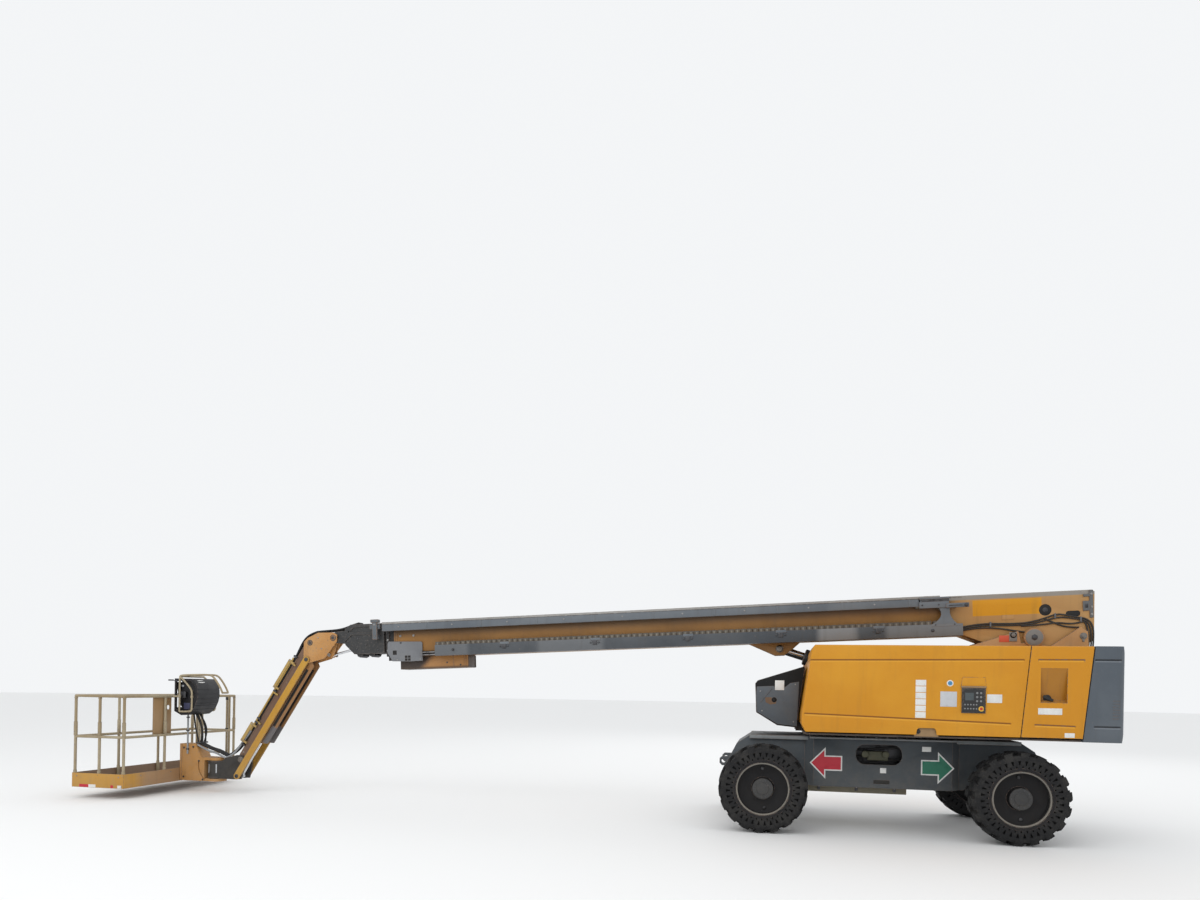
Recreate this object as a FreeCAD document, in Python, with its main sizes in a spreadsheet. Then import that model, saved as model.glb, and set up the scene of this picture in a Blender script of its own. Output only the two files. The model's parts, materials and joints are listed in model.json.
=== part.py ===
"""Telescopic boom lift: chassis, turntable, three-section boom, jib and work platform.

Machine axes: +X from the slewing axis towards the counterweight, +Z up, -Y the right-hand side.
Every size is a named cell of the sheet "Dimensions" and every place is worked out from those cells.
"""
import FreeCAD, Part
import os
import re
import Sketcher
from FreeCAD import Vector

doc = FreeCAD.newDocument("TelescopicBoomLift")
sheet = doc.addObject("Spreadsheet::Sheet", "Dimensions")
derived = doc.addObject("App::VarSet", "Derived")
owners = {}
seats = {}
nodes = []


# ---------------------------------------------------------------- sizes, frames and shapes

def size(alias, number):
    """One driving dimension, in millimetres or degrees."""
    row = len(owners) + 1
    sheet.set("A%d" % row, alias)
    sheet.set("B%d" % row, str(number))
    sheet.setAlias("B%d" % row, alias)
    owners[alias] = "Dimensions"


def bound(formula):
    """The formula with each named size written as a reference to its sheet."""
    def reference(match):
        word = match.group()
        return owners[word] + "." + word if word in owners else word
    return re.sub(r"[A-Za-z_]\w*", reference, formula)


def derive(name, formula):
    """A value that follows from the driving dimensions."""
    derived.addProperty("App::PropertyFloat", name)
    derived.setExpression(name, bound(formula))
    owners[name] = "Derived"


def number(formula):
    """What a formula comes to at present."""
    return float(derived.evalExpression(bound(formula)))


def frame(name, parent, place, turn="0"):
    """A coordinate frame, turned about +Y by an angle in degrees."""
    local = "placement(vector(%s; %s; %s); rotation(vector(0; 1; 0); %s))" % (*place, turn)
    holder = doc.addObject("App::Placement", name)
    prefix = parent + ".Placement * " if parent else ""
    holder.setExpression("Placement", prefix + bound(local))
    return name


def seat(item, at, axis=(0, 0, 1), turn="0"):
    """Puts a shape at a point of its own node, turned about an axis."""
    place = "placement(vector(%s; %s; %s); rotation(vector(%s; %s; %s); %s))" % (*at, *axis, turn)
    seats[item.Name] = bound(place)
    item.setExpression("Placement", bound(place))
    return item


def node(item, label, frame_name):
    """Names a finished sub-part and stands it in its frame."""
    item.Label = label
    place = frame_name + ".Placement"
    if item.Name in seats:
        place += " * " + seats[item.Name]
    item.setExpression("Placement", place)
    nodes.append(item)
    return item


def box(low, high):
    """A plain block between two corners."""
    item = doc.addObject("Part::Box", "Block")
    for side, axis in (("Length", 0), ("Width", 1), ("Height", 2)):
        item.setExpression(side, bound("(%s) - (%s)" % (high[axis], low[axis])))
    return seat(item, low)


def rod(start, radius, length, along="Z"):
    """A cylinder from a point along one axis of its node."""
    item = doc.addObject("Part::Cylinder", "Round")
    item.setExpression("Radius", bound(radius))
    item.setExpression("Height", bound(length))
    turns = {"X": ((0, 1, 0), "90"), "Y": ((1, 0, 0), "-90"), "Z": ((0, 0, 1), "0")}
    return seat(item, start, *turns[along])


def slanted_rod(start, radius, length, lean):
    """A cylinder in the XZ plane, leaning from +Z towards +X by an angle."""
    item = doc.addObject("Part::Cylinder", "Round")
    item.setExpression("Radius", bound(radius))
    item.setExpression("Height", bound(length))
    return seat(item, start, (0, 1, 0), lean)


def ball(centre, radius):
    """A sphere, used where tubes meet at a corner."""
    item = doc.addObject("Part::Sphere", "Ball")
    item.setExpression("Radius", bound(radius))
    return seat(item, centre)


def fuse(*items):
    """Several shapes as one."""
    joined = doc.addObject("Part::MultiFuse", "Joined")
    joined.Shapes = list(items)
    return joined


def cut(base, *tools):
    """A shape less one or more others."""
    result = doc.addObject("Part::Cut", "Trimmed")
    result.Base = base
    result.Tool = tools[0] if len(tools) == 1 else fuse(*tools)
    return result


def group(*items):
    """Like pieces that don't touch, kept as one compound."""
    together = doc.addObject("Part::Compound", "Group")
    together.Links = list(items)
    return together


def body(name):
    """An empty body for sketched features."""
    return doc.addObject("PartDesign::Body", name)


def origin_plane(owner, role):
    """One of the three planes of a body."""
    return next(item for item in owner.Origin.OriginFeatures if item.Role == role)


def draw(sketch, outlines):
    """Closed outlines of straight lines, or circles, tied to the sheet point by point."""
    for outline in outlines:
        if outline[0] == "circle":
            draw_circle(sketch, *outline[1:])
        else:
            draw_polygon(sketch, outline)


def tie(sketch, kind, index, point, formula):
    """Holds one coordinate of a point at a formula's value."""
    value = float(sketch.evalExpression(bound(formula)))
    held = sketch.addConstraint(Sketcher.Constraint(kind, -1, 1, index, point, value))
    sketch.setExpression("Constraints[%d]" % held, bound(formula))


def draw_circle(sketch, across, up, radius):
    """A circle with its centre and radius tied to the sheet."""
    centre = Vector(float(sketch.evalExpression(bound(across))), float(sketch.evalExpression(bound(up))), 0)
    start = float(sketch.evalExpression(bound(radius)))
    index = sketch.addGeometry(Part.Circle(centre, Vector(0, 0, 1), start), False)
    tie(sketch, "DistanceX", index, 3, across)
    tie(sketch, "DistanceY", index, 3, up)
    held = sketch.addConstraint(Sketcher.Constraint("Radius", index, start))
    sketch.setExpression("Constraints[%d]" % held, bound(radius))


def draw_polygon(sketch, outline):
    """A closed polygon whose corners are tied to the sheet."""
    corners = []
    for across, up in outline:
        place = [float(sketch.evalExpression(bound(part))) for part in (across, up)]
        corners.append(Vector(*place, 0))
    first = sketch.GeometryCount
    count = len(corners)
    for step in range(count):
        sketch.addGeometry(Part.LineSegment(corners[step], corners[(step + 1) % count]), False)
    for step in range(count):
        following = first + (step + 1) % count
        sketch.addConstraint(Sketcher.Constraint("Coincident", first + step, 2, following, 1))
    for step, (across, up) in enumerate(outline):
        tie(sketch, "DistanceX", first + step, 1, across)
        tie(sketch, "DistanceY", first + step, 1, up)


def sketch_on(owner, role, outlines, start="0"):
    """A sketch on an origin plane of a body, moved along the plane's normal."""
    sketch = owner.newObject("Sketcher::SketchObject", "Outline")
    sketch.AttachmentSupport = [(origin_plane(owner, role), "")]
    sketch.MapMode = "FlatFace"
    sketch.setExpression(".AttachmentOffset.Base.z", bound(start))
    draw(sketch, outlines)
    return sketch


def pad(owner, role, outlines, depth, start=None):
    """Material across a plane on both sides, or from a start along the plane's normal."""
    feature = owner.newObject("PartDesign::Pad", "Pad")
    feature.Profile = sketch_on(owner, role, outlines, start or "0")
    feature.SideType = "Symmetric" if start is None else "One side"
    feature.setExpression("Length", bound(depth))
    doc.recompute()
    return feature


def pocket(owner, role, outlines, depth, start=None):
    """Material taken away the same way as a pad adds it."""
    before = owner.Shape.Volume
    feature = owner.newObject("PartDesign::Pocket", "Pocket")
    feature.Profile = sketch_on(owner, role, outlines, start or "0")
    feature.SideType = "Symmetric" if start is None else "One side"
    feature.Reversed = start is not None
    feature.setExpression("Length", bound(depth))
    doc.recompute()
    if not owner.Shape.Volume < before - 1:
        raise RuntimeError("a pocket in %s takes nothing away" % owner.Name)
    return feature


def revolve(owner, outline):
    """A ring or disc about the Y axis: the outline gives distance along Y and radius."""
    feature = owner.newObject("PartDesign::Revolution", "Revolution")
    sketch = sketch_on(owner, "YZ_Plane", [outline])
    feature.Profile = sketch
    feature.ReferenceAxis = (sketch, ["H_Axis"])
    feature.Angle = 360
    doc.recompute()
    return feature


def round_edges(owner, radius, along, places):
    """Rounds the straight edges parallel to an axis that pass through the given places."""
    tip = owner.Tip
    fixed = [axis for axis in "XYZ" if axis != along]
    wanted = [[number(part) for part in place] for place in places]
    found = []
    for index, edge in enumerate(tip.Shape.Edges):
        if edge.Curve.TypeId != "Part::GeomLine":
            continue
        ends = [vertex.Point for vertex in edge.Vertexes]
        way = (ends[1] - ends[0]).normalize()
        if abs(getattr(way, along.lower())) < 0.999:
            continue
        spot = [getattr(ends[0], axis.lower()) for axis in fixed]
        if any(abs(spot[0] - place[0]) < 0.1 and abs(spot[1] - place[1]) < 0.1 for place in wanted):
            found.append("Edge%d" % (index + 1))
    feature = owner.newObject("PartDesign::Fillet", "Rounding")
    feature.Base = (tip, found)
    feature.setExpression("Radius", bound(radius))
    doc.recompute()
    return feature


def mirrored(outline, across=-1, up=1):
    """The same outline on the other side of an axis of its sketch."""
    turned = []
    for corner in outline:
        turned.append(tuple("-(%s)" % part if sign < 0 else part for part, sign in zip(corner, (across, up))))
    return turned


# ---------------------------------------------------------------- driving dimensions

# chassis
size("chassis_top", 1120)
size("chassis_bottom", 515)
size("chassis_half_width", 620)
size("chassis_plate", 20)
size("chassis_shoulder", 800)
size("chassis_taper", 100)
size("chassis_end_half_width", 480)
size("chassis_half_length", 1870)
size("chassis_end_slope", 310)
size("chassis_end_bottom", 640)
size("chassis_end_rise", 380)
size("chassis_end_bend", 120)
size("chassis_end_undercut", 70)
size("chassis_belly_slope", 170)
size("chassis_belly_half_length", 950)
size("porthole_centre", -35)
size("porthole_length", 530)
size("porthole_height", 240)
size("porthole_middle", 920)
size("porthole_corner", 105)
size("tie_lug_reach", 90)
size("tie_lug_root", 120)
size("tie_lug_half_height", 60)
size("tie_lug_corner", 30)
size("tie_lug_hole_radius", 25)
size("tie_lug_thickness", 25)
size("tie_lug_offset", 300)
size("tie_lug_level", 760)
size("slew_ring_radius", 560)
size("slew_ring_bore", 320)
size("slew_ring_height", 45)
size("tray_low_end", -860)
size("tray_high_end", 320)
size("tray_half_width", 400)
size("tray_depth", 90)
size("tray_wall", 6)

# axles, knuckles and wheels
size("wheelbase", 2800)
size("overall_width", 2490)
size("tyre_diameter", 1040)
size("tyre_width", 385)
size("tyre_bead_inset", 18)
size("tyre_shoulder", 75)
size("tyre_edge_drop", 28)
size("tyre_edge_inset", 14)
size("tyre_tread_inset", 45)
size("bead_radius", 322)
size("rim_lip_radius", 345)
size("rim_wall", 12)
size("rim_lip", 16)
size("rim_inset", 2)
size("hub_cap_depth", 30)
size("hub_cap_slope", 14)
size("disc_corner", 10)
size("rim_dish", 128)
size("rim_disc_thickness", 16)
size("rim_hub_radius", 120)
size("rim_hub_reach", 88)
size("hub_cap_radius", 72)
size("spindle_radius", 60)
size("spindle_clearance", 1)
size("axle_beam", 140)
size("axle_pad_middle", 250)
size("axle_pad_half_width", 100)
size("axle_half_span", 700)
size("kingpin_offset", 760)
size("kingpin_radius", 34)
size("fork_web", 30)
size("fork_thickness", 50)
size("web_inset", 20)
size("axle_end_reach", 60)
size("axle_flange", 60)
size("tie_rod_behind", 125)
size("tie_rod_radius", 38)
size("tie_rod_half_length", 420)
size("tie_rod_lug_middle", 300)
size("tie_rod_lug_half_width", 20)
size("tie_rod_lug_half_height", 30)
size("knuckle_half_height", 90)
size("knuckle_radius", 62)
size("collar_width", 30)
size("collar_middle", 27)
size("steer_arm_length", 170)
size("steer_arm_half_width", 18)
size("steer_arm_height", 40)
size("knuckle_gap", 8)

# turntable
size("slew_gap", 5)
size("deck_plate", 20)
size("deck_low_end", -940)
size("deck_high_end", 1995)
size("deck_half_width", 1190)
size("deck_corner", 60)
size("cheek_gap", 25)
size("cheek_plate", 30)
size("cheek_top", 2200)
size("cheek_front_bend", 100)
size("cheek_front_run", 740)
size("cheek_rear_reach", 95)
size("nose_plane_low", -1012)
size("nose_plane_high", -917)
size("nose_plane_top", 1985)
size("pivot_along", 1771)
size("pivot_up", 2371)
size("pivot_pin_radius", 50)
size("pivot_boss_radius", 115)
size("pivot_boss_thickness", 25)
size("front_tower_along", 1600)
size("front_tower_up", 2450)
size("rear_tower_along", 2290)
size("rear_tower_up", 2505)
size("slot_floor", 1640)
size("slot_clearance", 20)
size("lift_base_along", 750)
size("lift_base_up", 1600)
size("lift_lug_foot", 260)
size("lift_lug_half_width", 75)
size("lift_pin_radius", 40)
size("lift_eye_half_width", 50)
size("lug_gap", 10)
size("lug_plate", 30)
size("pin_clearance", 0.5)
size("hood_half_width", 1225)
size("hood_top", 2215)
size("hood_bottom", 1205)
size("seam_gap", 8)
size("seam_one_low", 1374)
size("seam_one_high", 1468)
size("seam_two_low", 1998)
size("seam_two_high", 2104)
size("counterweight_rear", 2425)
size("counterweight_corner", 90)
size("slot_side_gap", 20)
size("bulkhead_rise", 200)
size("bulkhead_front_inset", 80)
size("bulkhead_rear_inset", 300)
size("weight_top_slope", 110)
size("weight_foot_slope", 130)
size("weight_edge", 30)
size("nose_tip", -1520)
size("nose_foot", 50)
size("nose_brow", 185)
size("nose_bridge", 225)
size("nose_lip", 30)
size("nose_chin", 229)
size("nose_chin_run", 277)
size("nose_chin_rise", 73)
size("nose_half_width", 540)
size("nose_wall", 8)
size("nose_gap", 44)
size("hood_nose_bend", 43)
size("hood_foot_rise", 90)
size("hood_face_rise", 190)
size("hood_top_bend", 70)
size("engine_length", 900)
size("engine_width", 560)
size("engine_height", 600)
size("engine_low_end", -400)
size("engine_inboard", 420)
size("hood_wall", 8)
size("hood_edge_radius", 22)
size("hood_side_gap", 17)
size("panel_low_end", 760)
size("panel_width", 250)
size("panel_bottom", 1460)
size("panel_height", 280)
size("panel_thickness", 18)

# boom
size("boom_droop", 2.6)
size("boom_half_width", 190)
size("boom_wall", 10)
size("boom_floor", 67)
size("boom_roof", 552)
size("boom_front", -8350)
size("boom_root", -786)
size("tail_end", 690)
size("tail_floor", -120)
size("tail_slope", 430)
size("tail_foot", 130)
size("tail_heel", 60)
size("tail_lean", 13)
size("boom_hole_along", 154)
size("boom_hole_up", 332)
size("boom_hole_radius", 70)
size("boom_window_along", 380)
size("boom_window_length", 160)
size("boom_window_floor", 240)
size("boom_window_height", 68)
size("boom_window_corner", 30)
size("lift_eye_along", -3000)
size("lift_eye_up", -15)
size("boom_lug_run", 400)
size("boom_lug_rise", 85)
size("lug_cap", 12)
size("boom_stroke", 6300)
size("front_box_low_end", -8160)
size("front_box_length", 1030)
size("front_box_depth", 180)
size("front_box_half_width", 130)
size("guide_length", 690)
size("guide_floor", 46)
size("guide_roof", 312)
size("guide_plate", 15)
size("guide_overhang", 40)
size("guide_corner", 60)
size("guide_window_along", 70)
size("guide_window_floor", 150)
size("guide_window_size", 70)
size("trough_low_end", -7690)
size("trough_high_end", -806)
size("trough_width", 110)
size("trough_floor", 55)
size("trough_depth", 150)
size("trough_wall", 4)
size("chain_width", 90)
size("chain_height", 200)
size("chain_bend_radius", 205)
size("chain_bend_bore", 110)
size("mid_half_width", 155)
size("mid_floor", 105)
size("mid_roof", 515)
size("mid_front", -8450)
size("mid_rear", 300)
size("mid_wall", 10)
size("collar_thickness", 45)
size("collar_proud", 25)
size("collar_drop", 30)
size("collar_rise", 20)
size("hose_tube_radius", 50)
size("hose_tube_gap", 10)
size("fly_half_width", 120)
size("fly_floor", 140)
size("fly_roof", 480)
size("fly_front", -8520)
size("fly_rear", 100)
size("fly_wall", 8)
size("head_front", -9130)
size("head_half_width", 150)
size("head_floor", 130)
size("head_roof", 560)
size("head_nose_slope", 140)
size("head_brow", 60)
size("head_brow_run", 90)
size("level_slot_roof", 110)
size("neck_pin_along", -9343)
size("neck_pin_up", 384)
size("neck_pin_radius", 35)
size("neck_eye_radius", 78)
size("neck_inner", 60)
size("neck_plate", 25)
size("neck_root", 60)
size("neck_flat", 40)
size("neck_chamfer", 12)
size("level_base_along", -8620)
size("level_base_up", 300)
size("level_pin_radius", 20)
size("level_slot_half_width", 50)

# lift cylinder
size("lift_barrel_radius", 92)
size("lift_rod_radius", 54)
size("lift_eye_radius", 72)
size("lift_neck", 115)
size("lift_barrel_reach", 1745)
size("rod_clearance", 1)
size("piston_head", 8)
size("piston_gap", 125)

# jib bracket and level cylinder
size("bracket_inner", 95)
size("bracket_plate", 15)
size("bracket_heel", 62)
size("bracket_crown", 78)
size("bracket_foot_along", -130)
size("bracket_foot_up", -300)
size("pin_head", 6)
size("level_collar", 25)
size("jib_pin_along", -367)
size("jib_pin_up", -74)
size("jib_pin_radius", 30)
size("link_offset_along", -43)
size("link_offset_up", -246)
size("link_pin_radius", 25)
size("link_gap", 8)
size("link_plate", 20)
size("stub_proud", 4)
size("level_eye_along", -60)
size("level_eye_up", -250)
size("level_lug_inner", 25)
size("level_lug_plate", 15)
size("level_hub_half_width", 50)
size("level_barrel_radius", 34)
size("level_rod_radius", 18)
size("level_eye_radius", 36)
size("level_eye_half_width", 20)
size("level_barrel_reach", 440)
size("level_piston_gap", 52)
size("level_stroke", 320)

# jib
size("jib_droop", 57.6)
size("jib_length", 2072)
size("jib_half_width", 85)
size("jib_wall", 12)
size("jib_back", 70)
size("jib_front", 230)
size("jib_eye_radius", 48)
size("jib_nose_length", 330)
size("jib_nose_slope", 110)
size("jib_tail_slope", 120)
size("jib_eye_reach", 40)
size("link_width", 100)
size("jib_guard_radius", 13)
size("jib_guard_gap", 25)
size("jib_guard_start", 0.78)
size("jib_guard_share", 0.62)
size("jib_guard_foot", 12)
size("rotator_along", -463)
size("rotator_radius", 130)
size("rotator_floor", -300)
size("rotator_roof", -35)
size("knuckle_heel", 60)
size("knuckle_crown", 65)
size("knuckle_neck_along", -250)
size("knuckle_neck_up", 20)
size("knuckle_end", -310)
size("knuckle_foot", -90)
size("jib_barrel_radius", 42)
size("jib_rod_radius", 24)
size("jib_barrel_reach", 1700)
size("jib_piston_gap", 90)
size("jib_stroke", 460)
size("jib_cylinder_eye_radius", 46)
size("jib_cylinder_half_width", 40)

# work platform
size("platform_rear", -570)
size("platform_depth", 840)
size("platform_half_width", 1220)
size("platform_floor_bottom", -356)
size("platform_floor_plate", 40)
size("toe_height", 200)
size("toe_plate", 6)
size("rail_radius", 19)
size("top_rail_up", 925)
size("mid_rail_up", 354)
size("support_half_width", 110)
size("support_gap", 5)
size("support_plate", 40)
size("support_crown", 210)
size("support_bend_along", -200)
size("support_rise_along", -300)
size("rotator_gap", 15)
size("gate_post_inset", 90)
size("gate_drop", 380)
size("gate_tube_radius", 16)
size("gate_clearance", 10)
size("console_right", -170)
size("console_heel", 60)
size("console_foot", 280)
size("console_foot_bend", 170)
size("console_foot_rise", 16)
size("console_chin", 60)
size("console_chin_rise", 120)
size("console_face_rise", 290)
size("console_brow", 94)
size("console_brow_run", 110)
size("console_floor", 644)
size("console_roof", 1194)
size("console_half_width", 250)
size("guard_radius", 14)
size("guard_rear", -470)
size("guard_loop", 210)
size("guard_reach", 520)
size("guard_floor", 700)
size("guard_roof", 1225)
size("guard_drop", 270)
size("guard_lean", 35)
size("side_panel_low", -630)
size("side_panel_high", -255)
size("side_panel_thickness", 6)

doc.recompute()


# ---------------------------------------------------------------- values that follow from them

# chassis
derive("cheek_inner", "boom_half_width + cheek_gap")
derive("slot_half_width", "cheek_inner + cheek_plate + slot_side_gap")
derive("hood_inner_edge", "cheek_inner + cheek_plate + hood_side_gap")
derive("tie_hole_along", "chassis_half_length + tie_lug_reach / 2 - 5")

# axles, knuckles and wheels
derive("axle_height", "tyre_diameter / 2")
derive("wheel_middle", "(overall_width - tyre_width) / 2")
derive("spindle_end", "wheel_middle + tyre_width / 2 - rim_dish + rim_hub_reach - 35")

# turntable
derive("deck_bottom", "chassis_top + slew_ring_height + slew_gap")
derive("deck_top", "deck_bottom + deck_plate")

# boom
derive("chain_floor", "trough_floor + trough_wall")
derive("chain_middle", "trough_high_end - chain_bend_radius")
derive("chain_side", "boom_half_width + (trough_width - chain_width) / 2")
derive("hose_tube_side", "boom_half_width + hose_tube_gap + hose_tube_radius")
derive("hose_tube_up", "boom_roof - hose_tube_radius - 7")

# lift cylinder
derive("lift_eye_x", "pivot_along + lift_eye_along * cos(boom_droop) - lift_eye_up * sin(boom_droop)")
derive("lift_eye_z", "pivot_up + lift_eye_along * sin(boom_droop) + lift_eye_up * cos(boom_droop)")
derive("lift_length", "sqrt((lift_eye_x - lift_base_along)^2 + (lift_eye_z - lift_base_up)^2)")
derive("lift_angle", "atan2(lift_eye_z - lift_base_up; lift_eye_x - lift_base_along)")

# jib bracket and level cylinder
derive("neck_x", "pivot_along + neck_pin_along * cos(boom_droop) - neck_pin_up * sin(boom_droop)")
derive("neck_z", "pivot_up + neck_pin_along * sin(boom_droop) + neck_pin_up * cos(boom_droop)")
derive("link_inner", "bracket_inner + bracket_plate + link_gap")
derive("level_base_x", "pivot_along + level_base_along * cos(boom_droop) - level_base_up * sin(boom_droop)")
derive("level_base_z", "pivot_up + level_base_along * sin(boom_droop) + level_base_up * cos(boom_droop)")
derive("level_run_x", "neck_x + level_eye_along - level_base_x")
derive("level_run_z", "neck_z + level_eye_up - level_base_z")
derive("level_length", "sqrt(level_run_x^2 + level_run_z^2)")
derive("level_angle", "atan2(level_run_z; level_run_x)")

# jib
derive("jib_run_x", "-jib_length * cos(jib_droop) + link_offset_along")
derive("jib_run_z", "-jib_length * sin(jib_droop) + link_offset_up")
derive("jib_cylinder_length", "sqrt(jib_run_x^2 + jib_run_z^2)")
derive("jib_cylinder_angle", "atan2(jib_run_z; jib_run_x)")

# work platform
derive("platform_front", "platform_rear - platform_depth")
derive("floor_top", "platform_floor_bottom + platform_floor_plate")
derive("rail_front", "platform_front + toe_plate + rail_radius")
derive("rail_rear", "platform_rear - toe_plate - rail_radius")
derive("rail_side", "platform_half_width - toe_plate - rail_radius")
derive("gate_post_front", "rail_front + gate_post_inset")
derive("gate_post_rear", "rail_rear - gate_post_inset")
derive("guard_end", "guard_rear + guard_reach + guard_drop * sin(guard_lean)")
derive("guard_end_up", "guard_roof - guard_drop * cos(guard_lean)")
derive("gate_hinge", "gate_post_rear - rail_radius - gate_clearance - gate_tube_radius")
derive("gate_latch", "gate_post_front + rail_radius + gate_clearance + gate_tube_radius")

doc.recompute()

machine = frame("MachineFrame", None, ("0", "0", "0"))


# ---------------------------------------------------------------- chassis

chassis_side = [
    ("chassis_half_length - chassis_end_slope", "chassis_top"),
    ("chassis_half_length - chassis_end_slope * 0.42", "chassis_top - chassis_end_bend"),
    ("chassis_half_length", "chassis_top - chassis_end_rise"),
    ("chassis_half_length - chassis_end_undercut", "chassis_end_bottom"),
    ("chassis_belly_half_length + chassis_belly_slope", "chassis_end_bottom"),
    ("chassis_belly_half_length", "chassis_bottom"),
]
chassis_outline = chassis_side + mirrored(chassis_side)[::-1]
chassis = body("ChassisFrame")
pad(chassis, "XZ_Plane", [chassis_outline], "2 * chassis_half_width")
corner = [
    ("chassis_shoulder", "chassis_half_width + 50"),
    ("chassis_shoulder", "chassis_half_width"),
    ("chassis_shoulder + chassis_taper", "chassis_end_half_width"),
    ("chassis_half_length + 50", "chassis_end_half_width"),
    ("chassis_half_length + 50", "chassis_half_width + 50"),
]
corners = [mirrored(corner, across, up) for across in (1, -1) for up in (1, -1)]
pocket(chassis, "XY_Plane", corners, "3 * chassis_top")
hollow = [
    ("-chassis_shoulder", "chassis_bottom + chassis_plate"),
    ("chassis_shoulder", "chassis_bottom + chassis_plate"),
    ("chassis_shoulder", "chassis_top - chassis_plate"),
    ("-chassis_shoulder", "chassis_top - chassis_plate"),
]
pocket(chassis, "XZ_Plane", [hollow], "2 * (chassis_half_width - chassis_plate)")
porthole = [
    (end + " * porthole_length / 2 + porthole_centre", "porthole_middle + porthole_height / 2 * " + side)
    for end, side in (("-1", "-1"), ("1", "-1"), ("1", "1"), ("-1", "1"))
]
pocket(chassis, "XZ_Plane", [porthole], "3 * chassis_half_width")
round_edges(chassis, "porthole_corner", "Y", porthole)
lug = [
    ("chassis_half_length - tie_lug_root", "tie_lug_level - tie_lug_half_height"),
    ("chassis_half_length + tie_lug_reach - tie_lug_corner", "tie_lug_level - tie_lug_half_height"),
    ("chassis_half_length + tie_lug_reach", "tie_lug_level - tie_lug_corner"),
    ("chassis_half_length + tie_lug_reach", "tie_lug_level + tie_lug_corner"),
    ("chassis_half_length + tie_lug_reach - tie_lug_corner", "tie_lug_level + tie_lug_half_height"),
    ("chassis_half_length - tie_lug_root", "tie_lug_level + tie_lug_half_height"),
]
for side in ("1", "-1"):
    start = side + " * tie_lug_offset - tie_lug_thickness / 2"
    pad(chassis, "XZ_Plane", [lug, mirrored(lug)], "tie_lug_thickness", start)
lug_holes = []
for sign in ("", "-"):
    lug_holes.append(("circle", sign + "tie_hole_along", "tie_lug_level", "tie_lug_hole_radius"))
pocket(chassis, "XZ_Plane", lug_holes, "3 * chassis_half_width")
node(chassis, "chassis_frame", machine)

slew_disc = rod(("0", "0", "chassis_top"), "slew_ring_radius", "slew_ring_height")
slew_hole = rod(("0", "0", "chassis_top"), "slew_ring_bore", "slew_ring_height")
node(cut(slew_disc, slew_hole), "slew_ring", machine)

tray = body("BellyTray")
tray_rim = [
    ("tray_low_end", "-tray_half_width"),
    ("tray_high_end", "-tray_half_width"),
    ("tray_high_end", "tray_half_width"),
    ("tray_low_end", "tray_half_width"),
]
tray_well = [
    ("tray_low_end + tray_wall", "-tray_half_width + tray_wall"),
    ("tray_high_end - tray_wall", "-tray_half_width + tray_wall"),
    ("tray_high_end - tray_wall", "tray_half_width - tray_wall"),
    ("tray_low_end + tray_wall", "tray_half_width - tray_wall"),
]
pad(tray, "XY_Plane", [tray_rim], "tray_depth", "chassis_bottom - tray_depth")
pocket(tray, "XY_Plane", [tray_well], "tray_depth", "chassis_bottom - tray_depth + tray_wall")
node(tray, "belly_tray", machine)


# ---------------------------------------------------------------- axles, knuckles and wheels

wheel_frames = {}
for end, end_sign in (("fixed", "-"), ("steered", "")):
    for hand, hand_sign in (("right", "-"), ("left", "")):
        place = (end_sign + "wheelbase / 2", hand_sign + "wheel_middle", "axle_height")
        title = "Wheel" + end.capitalize() + hand.capitalize() + "Frame"
        wheel_frames[end, hand] = frame(title, machine, place)


def tyre_outline():
    """Half section of the tyre: straight sidewalls, rounded shoulders, flat tread."""
    half = [
        ("tyre_width / 2 - tyre_bead_inset", "bead_radius"),
        ("tyre_width / 2 - tyre_bead_inset", "rim_lip_radius + 8"),
        ("tyre_width / 2", "rim_lip_radius + 40"),
        ("tyre_width / 2", "tyre_diameter / 2 - tyre_shoulder"),
        ("tyre_width / 2 - tyre_edge_inset", "tyre_diameter / 2 - tyre_edge_drop"),
        ("tyre_width / 2 - tyre_tread_inset", "tyre_diameter / 2"),
    ]
    return half + mirrored(half)[::-1]


def rim_outline(out):
    """Section of the rim: barrel, dished disc, hub and cap; out is the sign of the outer side."""
    section = [
        ("-tyre_width / 2 + rim_inset", "rim_lip_radius"),
        ("-tyre_width / 2 + rim_inset + rim_lip", "rim_lip_radius"),
        ("-tyre_width / 2 + rim_inset + rim_lip", "bead_radius"),
        ("tyre_width / 2 - rim_inset - rim_lip", "bead_radius"),
        ("tyre_width / 2 - rim_inset - rim_lip", "rim_lip_radius"),
        ("tyre_width / 2 - rim_inset", "rim_lip_radius"),
        ("tyre_width / 2 - rim_inset", "bead_radius - rim_wall"),
        ("tyre_width / 2 - rim_dish + disc_corner", "bead_radius - rim_wall - disc_corner"),
        ("tyre_width / 2 - rim_dish", "bead_radius - rim_wall - 3 * disc_corner"),
        ("tyre_width / 2 - rim_dish", "rim_hub_radius + rim_wall"),
        ("tyre_width / 2 - rim_dish + rim_hub_reach - hub_cap_slope", "rim_hub_radius"),
        ("tyre_width / 2 - rim_dish + rim_hub_reach", "hub_cap_radius"),
        ("tyre_width / 2 - rim_dish + rim_hub_reach", "0"),
        ("tyre_width / 2 - rim_dish + rim_hub_reach - hub_cap_depth", "0"),
        ("tyre_width / 2 - rim_dish + rim_hub_reach - hub_cap_depth", "spindle_radius + spindle_clearance"),
        ("tyre_width / 2 - rim_dish - rim_disc_thickness", "spindle_radius + spindle_clearance"),
        ("tyre_width / 2 - rim_dish - rim_disc_thickness", "bead_radius - rim_wall"),
        ("-tyre_width / 2 + rim_inset", "bead_radius - rim_wall"),
    ]
    return section if out > 0 else mirrored(section)


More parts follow.
